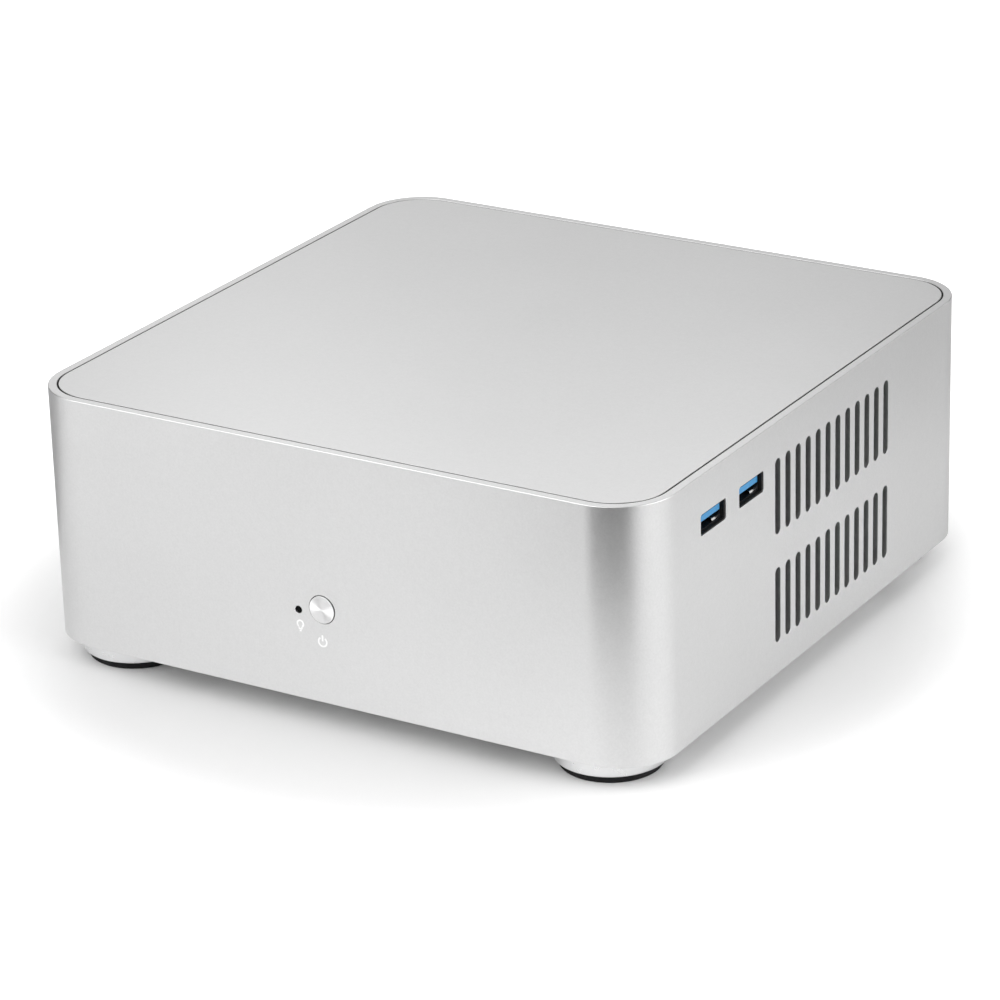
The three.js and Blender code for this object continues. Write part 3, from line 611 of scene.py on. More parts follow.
CASE_METAL = BlastedAluminium()
SHELL_METAL = BlastedAluminium("cut_aluminium", skin=(98.38 * MM, 70 * MM, 80 * MM))
SINK_METAL = PlatedMetal("milled_aluminium", (0.62, 0.62, 0.63), 0.35, (9000.0, 500.0, 9000.0))
SCREW_STEEL = PlatedMetal("zinc_steel", (0.58, 0.58, 0.57), 0.3)
SCREW_BLACK = PlatedMetal("black_oxide_steel", (0.045, 0.045, 0.05), 0.38)
PORT_STEEL = PlatedMetal("tinned_steel", (0.62, 0.62, 0.61), 0.26, (600.0, 9000.0, 9000.0))
LINER_STEEL = PlatedMetal("dark_nickel", (0.16, 0.16, 0.17), 0.34, (9000.0, 600.0, 9000.0))
CONTACT_METAL = PlatedMetal("contact_spring", (0.66, 0.66, 0.65), 0.2)
GOLD = PlatedMetal("gold_contact", (0.78, 0.58, 0.25), 0.22)
BRASS = PlatedMetal("turned_brass", (0.6, 0.46, 0.2), 0.3, (900.0, 900.0, 9000.0))
DRIVE_CASE = PlatedMetal("drive_casing", (0.26, 0.27, 0.28), 0.42, (700.0, 9000.0, 9000.0))
BLACK_PLASTIC = MouldedPlastic("black_plastic", (0.01, 0.01, 0.01), gloss=0.3)
FAN_PLASTIC = MouldedPlastic("fan_plastic", (0.02, 0.02, 0.022), 0.38)
LEAD_JACKET = MouldedPlastic("lead_jacket", (0.016, 0.016, 0.018), 0.55)
SOCKET_BLUE = MouldedPlastic("socket_blue", (0.036, 0.23, 0.47), 0.42)
JACK_GREEN = MouldedPlastic("jack_green", (0.12, 0.42, 0.15), 0.4)
JACK_BLUE = MouldedPlastic("jack_blue", (0.1, 0.3, 0.6), 0.4)
JACK_PINK = MouldedPlastic("jack_pink", (0.72, 0.28, 0.36), 0.4)
LENS_PLASTIC = MouldedPlastic("smoked_lens", (0.003, 0.003, 0.003), 0.5, 0.6 * MM, 0.002 * MM, 0.05)
LIGHT_WINDOW = MouldedPlastic("port_light", (0.35, 0.42, 0.2), 0.3)
RUBBER = Rubber()
BOARD_GREEN = CircuitBoard()
WHITE_PRINT = SignPaint()

# What the pieces that keep the frame's own shape are made of, by the record's material slot.
SLOT_FINISH = {
    "case_aluminium": CASE_METAL,
    "case_screws": SCREW_BLACK,
    "foot_aluminium": CASE_METAL,
    "foot_rubber": RUBBER,
    "steel_fasteners": SCREW_STEEL,
    "brass_standoffs": BRASS,
    "circuit_board": BOARD_GREEN,
    "processor_lid": PORT_STEEL,
    "heatsink_aluminium": SINK_METAL,
    "fan_plastic": FAN_PLASTIC,
    "port_steel": PORT_STEEL,
    "black_plastic": BLACK_PLASTIC,
    "drive_casing": DRIVE_CASE,
    "bracket_steel": SCREW_STEEL,
    "button_aluminium": CASE_METAL,
    "light_lens": LENS_PLASTIC,
    "socket_blue": SOCKET_BLUE,
    "lead_jacket": LEAD_JACKET,
}


# ---------------------------------------------------------------- mesh making


class Axis(Enum):
    """The direction that a section is drawn along."""

    X = "x"
    Y = "y"
    Z = "z"

    def place(self, u: float, v: float, t: float, centre: Pair) -> Point:
        """A point of the section in the frame.

        Args:
            u: across the section.
            v: up the section.
            t: along the axis.
            centre: the section's centre, in the same two directions as u and v.

        Returns:
            The point.
        """
        a, b = centre[0] + u, centre[1] + v
        return {Axis.X: (t, a, b), Axis.Y: (a, t, b), Axis.Z: (a, b, t)}[self]

    def centre(self, node: str) -> Pair:
        """The centre of a frame node, seen along this axis.

        Args:
            node: the node's name.

        Returns:
            The centre in the section's two directions.
        """
        low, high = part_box(node)
        x, y, z = (low + high) / 2
        return {Axis.X: (y, z), Axis.Y: (x, z), Axis.Z: (x, y)}[self]

    def span(self, node: str) -> Pair:
        """Where a frame node starts and ends along this axis.

        Args:
            node: the node's name.

        Returns:
            Its two ends.
        """
        low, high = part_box(node)
        index = "xyz".index(self.value)
        return low[index], high[index]


@dataclass(frozen=True)
class Outline:
    """A rounded rectangle, or a circle when it has no width and no height."""

    width: float = 0.0
    height: float = 0.0
    radius: float = 0.0
    steps: int = 8

    def points(self, grow: float = 0.0) -> list[Pair]:
        """The outline as points.

        Args:
            grow: how far it moves outwards, all round.

        Returns:
            The points in order, the same number for any grow.
        """
        found = []
        radius = max(self.radius + grow, 0.0)
        half_w, half_h = (max(side / 2 + grow - radius, 0.0) for side in (self.width, self.height))
        closed = self.width == 0 and self.height == 0
        for quarter, (sx, sy) in enumerate(((1, 1), (-1, 1), (-1, -1), (1, -1))):
            for i in range(self.steps if closed else self.steps + 1):
                angle = (quarter + i / self.steps) * math.pi / 2
                found.append((sx * half_w + radius * math.cos(angle), sy * half_h + radius * math.sin(angle)))
        return found


Section = tuple[Outline, float, float]


def arc(centre: Pair, radius: float, start: float, end: float, steps: int) -> list[Pair]:
    """Points of an arc.

    Args:
        centre: its centre.
        radius: its radius.
        start: the first angle in degrees.
        end: the last angle in degrees.
        steps: the number of chords.

    Returns:
        The points, both ends included.
    """
    angles = [math.radians(start + (end - start) * i / steps) for i in range(steps + 1)]
    return [(centre[0] + radius * math.cos(a), centre[1] + radius * math.sin(a)) for a in angles]


def half_width(node: str) -> float:
    """Half a frame node's size along X, such as the radius of a round one."""
    low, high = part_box(node)
    return (high.x - low.x) / 2


def polygon(centre: Pair, radius: float, steps: int) -> list[Pair]:
    """The corners of a regular polygon.

    Args:
        centre: its centre.
        radius: how far its corners are from the centre.
        steps: how many corners it has.

    Returns:
        The corners in order.
    """
    return arc(centre, radius, 0.0, 360.0, steps)[:-1]


def piece_from(name: str, points: Sequence[Point], faces: Sequence[Sequence[int]]) -> bpy.types.Object:
    """A new object with its faces turned outwards.

    Args:
        name: the object's name.
        points: its corners.
        faces: its faces as corner numbers.

    Returns:
        The object, linked to the scene.
    """
    mesh = bpy.data.meshes.new(name)
    mesh.from_pydata([tuple(p) for p in points], [], [tuple(f) for f in faces])
    work = bmesh.new()
    work.from_mesh(mesh)
    bmesh.ops.remove_doubles(work, verts=work.verts, dist=1e-7)
    bmesh.ops.recalc_face_normals(work, faces=work.faces)
    work.to_mesh(mesh)
    work.free()
    made = bpy.data.objects.new(name, mesh)
    bpy.context.scene.collection.objects.link(made)
    return made


def loft(name: str, rings: Sequence[Sequence[Point]], hollow: bool = False) -> bpy.types.Object:
    """Equal rings of points joined into one closed surface.

    Args:
        name: the object's name.
        rings: the rings in order.
        hollow: the last ring joins the first, and otherwise both ends are capped.

    Returns:
        The object.
    """
    count = len(rings[0])
    points = [p for ring in rings for p in ring]
    faces = []
    last = len(rings) if hollow else len(rings) - 1
    for i in range(last):
        here, there = i * count, (i + 1) % len(rings) * count
        for k in range(count):
            n = (k + 1) % count
            faces.append((here + k, here + n, there + n, there + k))
    if not hollow:
        faces.append(range(count - 1, -1, -1))
        faces.append(range(len(points) - count, len(points)))
    return piece_from(name, points, faces)


def drawn(
    name: str, axis: Axis, centre: Pair, sections: Sequence[Section], hollow: bool = False
) -> bpy.types.Object:
    """A solid through outlines that stand one behind the other.

    Args:
        name: the object's name.
        axis: the direction that the sections follow each other in.
        centre: the outlines' centre.
        sections: (outline, how far it is grown, place along the axis) in order.
        hollow: the sections run round a wall and back.

    Returns:
        The object.
    """
    rings = [[axis.place(u, v, t, centre) for u, v in outline.points(grow)] for outline, grow, t in sections]
    return loft(name, rings, hollow)


def slab(
    name: str, axis: Axis, centre: Pair, outline: Outline, start: float, end: float, edge: float
) -> bpy.types.Object:
    """A plate or block with a small chamfer around both faces.

    Args:
        name: the object's name.
        axis: the direction it is drawn along.
        centre: the outline's centre.
        outline: its outline.
        start: its first face.
        end: its last face.
        edge: the chamfer.

    Returns:
        The object.
    """
    steps = ((-edge, start), (0.0, start + edge), (0.0, end - edge), (-edge, end))
    return drawn(name, axis, centre, [(outline, grow, place) for grow, place in steps])


def turned(
    name: str, axis: Axis, centre: Pair, profile: Sequence[Pair], steps: int = 20, hollow: bool = False
) -> bpy.types.Object:
    """A solid of revolution.

    Args:
        name: the object's name.
        axis: the axis it is turned about.
        centre: where the axis is.
        profile: (radius, place along the axis) in order.
        steps: facets in a quarter turn.
        hollow: the profile closes on itself around a bore.

    Returns:
        The object.
    """
    circle = Outline(steps=steps)
    return drawn(name, axis, centre, [(circle, r, t) for r, t in profile], hollow)


def block(name: str, low: Point, high: Point, edge: float = 0.0) -> bpy.types.Object:
    """A block between two corners, drawn upwards.

    Args:
        name: the object's name.
        low: its lowest corner.
        high: its highest corner.
        edge: its chamfer.

    Returns:
        The object.
    """
    outline = Outline(high[0] - low[0], high[1] - low[1], edge, 2 if edge else 1)
    centre = ((low[0] + high[0]) / 2, (low[1] + high[1]) / 2)
    if edge:
        return slab(name, Axis.Z, centre, outline, low[2], high[2], edge)
    return drawn(name, Axis.Z, centre, [(outline, 0.0, low[2]), (outline, 0.0, high[2])])


def settled(piece: bpy.types.Object) -> None:
    """Replaces a piece's mesh by what its modifiers make of it.

    Args:
        piece: the object.
    """
    view = bpy.context.evaluated_depsgraph_get()
    old = piece.data
    piece.data = bpy.data.meshes.new_from_object(piece.evaluated_get(view))
    piece.modifiers.clear()
    bpy.data.meshes.remove(old)


def joined(name: str, pieces: Sequence[bpy.types.Object]) -> bpy.types.Object:
    """Several objects as one.

    Args:
        name: the new object's name.
        pieces: the objects, which are used up.

    Returns:
        The new object.
    """
    work = bmesh.new()
    for piece in pieces:
        work.from_mesh(piece.data)
    mesh = bpy.data.meshes.new(name)
    work.to_mesh(mesh)
    work.free()
    for piece in pieces:
        bpy.data.meshes.remove(piece.data)
    made = bpy.data.objects.new(name, mesh)
    bpy.context.scene.collection.objects.link(made)
    return made


class Tool(Enum):
    """How one solid works on another."""

    CUT = "DIFFERENCE"
    ADD = "UNION"

    def apply(self, piece: bpy.types.Object, tools: Sequence[bpy.types.Object]) -> None:
        """Works on a piece.

        Args:
            piece: the object that is changed.
            tools: the objects it is changed with, which are used up.
        """
        tool = joined("tool", tools)
        modifier = piece.modifiers.new("work", "BOOLEAN")
        modifier.operation = self.value
        modifier.solver = "EXACT"
        modifier.object = tool
        settled(piece)
        bpy.data.meshes.remove(tool.data)


@dataclass
class Bench:
    """Dresses pieces and fixes them to the frame's bodies."""

    palette: Palette = field(default_factory=Palette)
    crease: float = math.radians(32)

    def fit(
        self,
        piece: bpy.types.Object,
        finish: object,
        slot: str | None = None,
        replaces: Sequence[str] = (),
        body: str | None = CASE_BODY,
    ) -> bpy.types.Object:
        """Smooths, dresses and mounts one piece.

        Args:
            piece: the object.
            finish: its finish.
            slot: the record's material slot that the piece belongs to; not used.
            replaces: the frame nodes that it stands for.
            body: the body that it moves with, or None for a piece that is left unattached.

        Returns:
            The object.
        """
        mesh = piece.data
        mesh.polygons.foreach_set("use_smooth", [True] * len(mesh.polygons))
        mesh.set_sharp_from_angle(angle=self.crease)
        weigh = piece.modifiers.new("weigh", "WEIGHTED_NORMAL")
        weigh.keep_sharp = True
        settled(piece)
        piece.data.materials.clear()
        piece.data.materials.append(self.palette.material(finish))
        if body:
            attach(piece, body)
        if replaces:
            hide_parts(*replaces)
        log.info("fitted %s: %d faces, %s", piece.name, len(piece.data.polygons), finish.name)
        return piece

    def dress(self, node: str, finish: object) -> None:
        """Gives a frame node that keeps its shape its finish.

        Args:
            node: the node's name.
            finish: its finish.
        """
        piece = frame["nodes"][node]
        piece.data.materials.clear()
        piece.data.materials.append(self.palette.material(finish))


# ---------------------------------------------------------------- the case


@dataclass
class CaseShell:
    """The drawn aluminium ring with its vents, sockets' cut-outs, holes and screw pillars."""

    bench: Bench
    wall: float = 2.5 * MM
    corner: float = 17.5 * MM
    soft: float = 0.22 * MM
    edge: float = 0.1 * MM
    broken: float = 0.04 * MM
    slot_first: float = -24.0 * MM
    slot_pitch: float = 6.0 * MM
    slot_count: int = 12
    slot_width: float = 3.1 * MM
    slot_length: float = 22.2 * MM
    slot_rows: Pair = (9.6 * MM, 41.7 * MM)
    socket_hole: Outline = Outline(13.95 * MM, 6.0 * MM, 0.7 * MM, 5)
    button_hole: float = 4.2 * MM
    light_hole: float = 1.1 * MM
    inlet_hole: float = 4.1 * MM
    rear_opening: Outline = Outline(158.75 * MM, 44.45 * MM, 0.3 * MM, 2)
    pillar: float = 4.0 * MM
    pillar_inset: float = 6.0 * MM
    pillar_front: float = 50.0 * MM
    pillar_side: float = 56.0 * MM
    bore: float = 1.75 * MM
    bore_end: float = 7.0 * MM
    cover_thick: float = 2.5 * MM
    boss_depth: float = 6.0 * MM
    board_boss: float = 3.0 * MM
    board_boss_apart: float = 14.5 * MM
    board_gap: float = 0.3 * MM
    shelf_tall: float = 8.0 * MM
    seat_gap: float = 0.2 * MM

    def __post_init__(self) -> None:
        """Takes the shell's place from the frame."""
        self.low, self.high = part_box("shell")
        self.half = self.high.x
        self.inner = self.half - self.wall

    def ring(self) -> bpy.types.Object:
        """The plain ring with softened edges.

        Returns:
            The object.
        """
        outline = Outline(2 * self.half, 2 * self.half, self.corner, 14)
        z0, z1, soft, edge, wall = self.low.z, self.high.z, self.soft, self.edge, self.wall
        profile = arc((-soft, z0 + soft), soft, -90, 0, 6)
        profile += arc((-soft, z1 - soft), soft, 0, 90, 6)
        profile += [(edge - wall, z1), (-wall, z1 - edge), (-wall, z0 + edge), (edge - wall, z0)]
        return drawn("shell_body", Axis.Z, (0.0, 0.0), [(outline, g, t) for g, t in profile], hollow=True)

    def pillars(self) -> dict[str, Pair]:
        """Where the four screw pillars stand.

        Returns:
            Their centres by corner.
        """
        edge = self.half - self.pillar_inset
        return {
            "front_left": (-self.pillar_front, -edge),
            "front_right": (self.pillar_front, -edge),
            "rear_left": (-edge, self.pillar_side),
            "rear_right": (edge, self.pillar_side),
        }

    def bosses(self) -> list[bpy.types.Object]:
        """The pillars, and the bosses that hold the two small boards.

        Returns:
            The solids to add to the ring.
        """
        sunk = self.inner + MM
        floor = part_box("bottom_cover")[1].z + self.seat_gap
        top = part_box("top_cover")[1].z - self.cover_thick - self.boss_depth
        pillar = [(self.pillar, floor), (self.pillar, top)]
        made = [turned("pillar", Axis.Z, at, pillar, 8) for at in self.pillars().values()]
        x, z = Axis.Y.centre("front_board_screw")
        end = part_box("front_board")[0].y - self.board_gap
        boss = [(self.board_boss, -sunk), (self.board_boss, end)]
        made += [turned("boss", Axis.Y, (x - apart, z), boss, 8) for apart in (0.0, self.board_boss_apart)]
        x, y = Axis.Z.centre("usb_board_screw")
        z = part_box("usb_board")[0].z - self.seat_gap
        low = (x - self.board_boss, y - self.board_boss, z - self.shelf_tall)
        made.append(block("shelf", low, (sunk, y + self.board_boss, z)))
        return made

    def through(self, outline: Outline, axis: Axis, centre: Pair, side: int) -> bpy.types.Object:
        """A cutter through one wall that also breaks its outer edge.

        Args:
            outline: the hole's outline.
            axis: the wall's normal.
            centre: the hole's centre.
            side: 1 for the wall on the axis's high side and -1 for the low side.

        Returns:
            The cutter.
        """
        beyond = 0.2 * MM
        sections = [
            (outline, self.broken + beyond, side * (self.half + beyond)),
            (outline, 0.0, side * (self.half - self.broken)),
            (outline, 0.0, side * (self.inner - MM)),
        ]
        return drawn("cutter", axis, centre, sections)

    def vents(self) -> list[bpy.types.Object]:
        """The cutters of the upright slots in both side walls.

        Returns:
            The cutters.
        """
        slot = Outline(self.slot_width, self.slot_length, self.slot_width / 2, 7)
        across = [self.slot_first + i * self.slot_pitch for i in range(self.slot_count)]
        upright = [self.low.z + row + self.slot_length / 2 for row in self.slot_rows]
        return [self.through(slot, Axis.X, (y, z), side) for side in (-1, 1) for z in upright for y in across]

    def holes(self) -> list[bpy.types.Object]:
        """The cutters of the sockets, the button, the light, the rear opening, the inlet and the bores.

        Returns:
            The cutters.
        """
        places = [
            (self.socket_hole, Axis.X, Axis.X.centre("usb_port_front"), 1),
            (self.socket_hole, Axis.X, Axis.X.centre("usb_port_rear"), 1),
            (Outline(radius=self.button_hole, steps=14), Axis.Y, Axis.Y.centre("power_button"), -1),
            (Outline(radius=self.light_hole, steps=14), Axis.Y, Axis.Y.centre("status_light"), -1),
            (self.rear_opening, Axis.Y, (0.0, Axis.Y.centre("io_shield")[1]), 1),
            (Outline(radius=self.inlet_hole, steps=12), Axis.Y, Axis.Y.centre("dc_jack"), 1),
        ]
        bore = [(self.bore, self.low.z), (self.bore, self.high.z - self.bore_end)]
        bores = [turned("bore", Axis.Z, at, bore, 5) for at in self.pillars().values()]
        return [self.through(*place) for place in places] + bores

    def build(self) -> None:
        """Makes, cuts and mounts the shell."""
        shell = self.ring()
        Tool.ADD.apply(shell, self.bosses())
        Tool.CUT.apply(shell, self.vents() + self.holes())
        self.bench.fit(shell, SHELL_METAL, "case_aluminium", ["shell"])


@dataclass
class Covers:
    """The flush top cover with a black ring of painted shade in its groove, and the bottom cover."""

    bench: Bench
    shell: CaseShell
    gap: float = 0.5 * MM
    edge: float = 0.08 * MM
    # How far the black ring of painted shade sits below the top, and its slack in the groove.
    groove_shade_sunk: float = 0.16 * MM
    groove_shade_slack: float = 0.03 * MM
    boss: float = 3.3 * MM
    boss_reach: float = 7.3 * MM
    bore_end: float = 1.9 * MM
    head_hole: float = 3.05 * MM
    head_rim: float = 3.3 * MM
    head_depth: float = 1.4 * MM
    foot_hole: float = 2.2 * MM

    def outline(self) -> Outline:
        """The rounded square that both covers share.

        Returns:
            The outline.
        """
        inset = self.shell.wall + self.gap
        side = 2 * (self.shell.half - inset)
        return Outline(side, side, self.shell.corner - inset, 14)

    def plate(self, name: str, low: float, high: float) -> bpy.types.Object:
        """A rounded plate that fits in the shell.

        Args:
            name: the object's name.
            low: its underside.
            high: its top.

        Returns:
            The object.
        """
        profile = arc((-self.edge, low + self.edge), self.edge, -90, 0, 3)
        profile += arc((-self.edge, high - self.edge), self.edge, 0, 90, 3)
        outline = self.outline()
        return drawn(name, Axis.Z, (0.0, 0.0), [(outline, g, t) for g, t in profile])

    def top(self) -> None:
        """Makes and mounts the top cover with its four threaded bosses."""
        high = self.shell.high.z
        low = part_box("top_cover")[0].z
        cover = self.plate("top_cover_plate", high - self.shell.cover_thick, high)
        pillars = self.shell.pillars().values()
        reach = self.shell.half - self.boss_reach
        centres = [(math.copysign(min(abs(x), reach), x), max(y, -reach)) for x, y in pillars]
        boss = [(self.boss, low), (self.boss, high - MM)]
        bore = [(self.shell.bore, low - MM), (self.shell.bore, high - self.bore_end)]
        Tool.ADD.apply(cover, [turned("boss", Axis.Z, at, boss, 8) for at in centres])
        Tool.CUT.apply(cover, [turned("bore", Axis.Z, at, bore, 5) for at in pillars])
        self.bench.fit(cover, CASE_METAL, "case_aluminium", ["top_cover"])

    def groove_shade(self) -> None:
        """Makes and mounts a black ring in the groove around the top cover, as painted shade in the groove.
        """
        high, outline = self.shell.high.z, self.outline()
        start, end = high - self.shell.cover_thick + self.shell.seat_gap, high - self.groove_shade_sunk
        near, far = self.groove_shade_slack, self.gap - self.groove_shade_slack
        profile = ((far, start), (far, end), (near, end), (near, start))
        ring = drawn("cover_groove_shade", Axis.Z, (0.0, 0.0), [(outline, g, t) for g, t in profile], hollow=True)
        # The black ring is painted shade: it darkens the groove round the top cover, where shade falls.
        self.bench.fit(ring, RUBBER)

    def bottom(self) -> None:
        """Makes and mounts the bottom cover with its sunk screw holes."""
        low, beyond = self.shell.low.z, 3.0 * MM
        cover = self.plate("bottom_cover_plate", low, low + self.shell.cover_thick)
        hole = [(self.head_rim, low - 0.1 * MM), (self.head_hole, low + 0.15 * MM)]
        hole += [(self.head_hole, low + self.head_depth), (self.shell.bore, low + self.head_depth)]
        hole.append((self.shell.bore, low + beyond))
        foot = [(self.foot_hole, low - MM), (self.foot_hole, low + beyond)]
        cutters = [turned("hole", Axis.Z, at, hole, 8) for at in self.shell.pillars().values()]
        cutters += [turned("hole", Axis.Z, Axis.Z.centre(f"foot_{corner}"), foot, 6) for corner in CORNERS]
        Tool.CUT.apply(cover, cutters)
        self.bench.fit(cover, CASE_METAL, "case_aluminium", ["bottom_cover"])

    def build(self) -> None:
        """Makes and mounts both covers and the painted shade in the groove."""
        self.top()
        self.groove_shade()
        self.bottom()


@dataclass
class CaseScrew:
    """One long black socket-head screw from the underside up into the top cover."""

    bench: Bench
    corner: str
    head: float = 2.75 * MM
    tall: float = 1.2 * MM
    shank: float = 1.5 * MM
    key: float = 1.25 * MM
    edge: float = 0.2 * MM
    pitch: float = 0.5 * MM
    thread_depth: float = 0.2 * MM
    thread_turns: int = 18

    def build(self) -> None:
        """Makes and mounts the screw."""
        node = f"case_screw_{self.corner}"
        low, high = Axis.Z.span(node)
        at = Axis.Z.centre(node)
        under = low + self.tall
        profile = [(self.head - self.edge, low), (self.head, low + self.edge)]
        profile += [(self.head, under), (self.shank, under)]
        turns = int((high - under) / self.pitch)
        for i in range(max(0, turns - self.thread_turns), turns):
            z = under + i * self.pitch
            profile += [(self.shank, z), (self.shank - self.thread_depth, z + self.pitch / 2)]
        profile.append((self.shank - 0.25 * MM, high))
        screw = turned(f"{node}_body", Axis.Z, at, profile, 6)
        hexagon = polygon((0.0, 0.0), self.key, 6)
        depths = (low - MM, low + self.tall * 0.75)
        key = loft("key", [[Axis.Z.place(u, v, z, at) for u, v in hexagon] for z in depths])
        Tool.CUT.apply(screw, [key])
        self.bench.fit(screw, SCREW_BLACK, "case_screws", [node])


@dataclass
class Foot:
    """One turned metal foot with its rubber pad."""

    bench: Bench
    corner: str
    soft: float = 0.35 * MM
    flare: float = 0.9 * MM
    slack: float = 0.2 * MM
    lip: float = 0.15 * MM
    bore: float = 2.2 * MM
    sink: float = 4.2 * MM
    sink_depth: float = 1.4 * MM
    pad_soft: float = 0.5 * MM
    pad_rim: float = 2.2 * MM
    pad_hollow: float = 0.3 * MM

    def build(self) -> None:
        """Makes and mounts the cup and the pad, and dresses the screw."""
        cup, pad = f"foot_{self.corner}", f"foot_pad_{self.corner}"
        at = Axis.Z.centre(cup)
        low, high = Axis.Z.span(cup)
        pad_low, pad_high = Axis.Z.span(pad)
        radius, pad_radius = half_width(cup) + self.flare, half_width(pad) + self.flare
        seat, inside = pad_high + self.slack, pad_radius + self.slack
        profile = [(inside, seat), (inside, low + self.lip), (inside + self.lip, low)]
        profile += arc((radius - self.soft, low + self.soft), self.soft, -90, 0, 4)
        profile += arc((radius - self.soft, high - self.soft), self.soft, 0, 90, 4)
        profile += [(self.bore, high), (self.bore, seat + self.sink_depth)]
        profile += [(self.sink, seat + self.sink_depth), (self.sink, seat)]
        body = turned(f"{cup}_body", Axis.Z, at, profile, 20, hollow=True)
        finish = TurnedAluminium(f"turned_{cup}", (*at, 0.0))
        self.bench.fit(body, finish, "foot_aluminium", [cup])

        rim, soft = pad_radius - self.pad_rim, self.pad_soft
        profile = [(rim - self.pad_hollow, pad_low + self.pad_hollow), (rim, pad_low)]
        profile += arc((pad_radius - soft, pad_low + soft), soft, -90, 0, 4) + [(pad_radius, pad_high)]
        disc = turned(f"{pad}_disc", Axis.Z, at, profile, 20)
        self.bench.fit(disc, RUBBER, "foot_rubber", [pad])
        self.bench.dress(f"foot_screw_{self.corner}", SCREW_STEEL)


# ---------------------------------------------------------------- the front


@dataclass
class PowerButton:
    """The spun metal button, which slides in its hole, and its coil spring."""

    bench: Bench
    shell: CaseShell
    radius: float = 4.0 * MM
    flange: float = 5.2 * MM
    flange_thick: float = 1.0 * MM
    stem: float = 1.5 * MM
    dome: float = 0.08 * MM
    edge: float = 0.12 * MM
    wire: float = 0.2 * MM
    turns: int = 5
    turn_steps: int = 20

    def spring(self, at: Pair) -> bpy.types.Object:
        """The coil spring between the button's flange and its board.

        Args:
            at: the button's axis.

        Returns:
            The object.
        """
        low, high = Axis.Y.span("button_spring")
        radius = half_width("button_spring") - self.wire
        section = polygon((radius, low + self.wire), self.wire, 6)
        steps = self.turns * self.turn_steps
        rings = []
        for i in range(steps + 1):
            turn = 2 * math.pi * i / self.turn_steps
            u, v, along = math.cos(turn), math.sin(turn), (high - low - 2 * self.wire) * i / steps
            rings.append([Axis.Y.place(r * u, r * v, y + along, at) for r, y in section])
        return loft("spring_coil", rings)

    def cap(self, at: Pair) -> bpy.types.Object:
        """The turned button: a domed face, a neck in the hole, a flange behind the wall and a stem.

        Its own Z axis is the axis that it is turned about, because its spun finish follows that axis.

        Args:
            at: the button's axis.

        Returns:
            The object.
        """
        front, back = Axis.Y.span("power_button")
        seat = self.shell.low.y + self.shell.wall + self.shell.board_gap
        under, face, rim = seat + self.flange_thick, front + self.dome, self.radius - self.edge
        profile = [(0.05 * MM, front)]
        profile += [(rim * share, front + self.dome * share**2) for share in (0.2, 0.4, 0.6, 0.8)]
        profile += [(rim, face), (self.radius, face + self.edge), (self.radius, seat)]
        profile += [(self.flange, seat), (self.flange, under), (self.stem, under), (self.stem, back)]
        made = turned("power_button_cap", Axis.Y, at, profile, 20)
        upright = Matrix.Rotation(math.pi / 2, 4, "X")
        made.data.transform(upright)
        made.matrix_world = upright.inverted()
        return made

    def build(self) -> None:
        """Makes and mounts the button and its spring, and dresses its switch."""
        x, z = at = Axis.Y.centre("power_button")
        finish = TurnedAluminium("spun_button", (x, -z, 0.0), (0.84, 0.84, 0.84), 0.4, 0.9)
        self.bench.fit(self.cap(at), finish, "button_aluminium", ["power_button"], "power_button")
        coil = self.bench.fit(self.spring(at), CONTACT_METAL, None, ["button_spring"], None)
        low, high = Axis.Y.span("button_spring")
        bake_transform(coil)
        self.bench.dress("power_switch", BLACK_PLASTIC)


@dataclass
class StatusLight:
    """The smoked lens set back in its small hole."""

    bench: Bench
    lens: float = 0.95 * MM
    body: float = 1.5 * MM
    base: float = 1.8 * MM
    base_thick: float = 2.0 * MM
    length: float = 3.15 * MM
    dome: float = 0.25 * MM

    def build(self) -> None:
        """Makes and mounts the light."""
        at = Axis.Y.centre("status_light")
        front, back = Axis.Y.span("status_light")
        shoulder, foot = front + self.length, back - self.base_thick
        profile = [(self.lens * share, front + self.dome * share**4) for share in (0.05, 0.4, 0.7, 0.88, 1.0)]
        profile += [(self.lens, shoulder), (self.body, shoulder), (self.body, foot), (self.base, foot)]
        lens = turned("status_light_lens", Axis.Y, at, profile + [(self.base, back)], 10)
        self.bench.fit(lens, LENS_PLASTIC, "light_lens", ["status_light"])


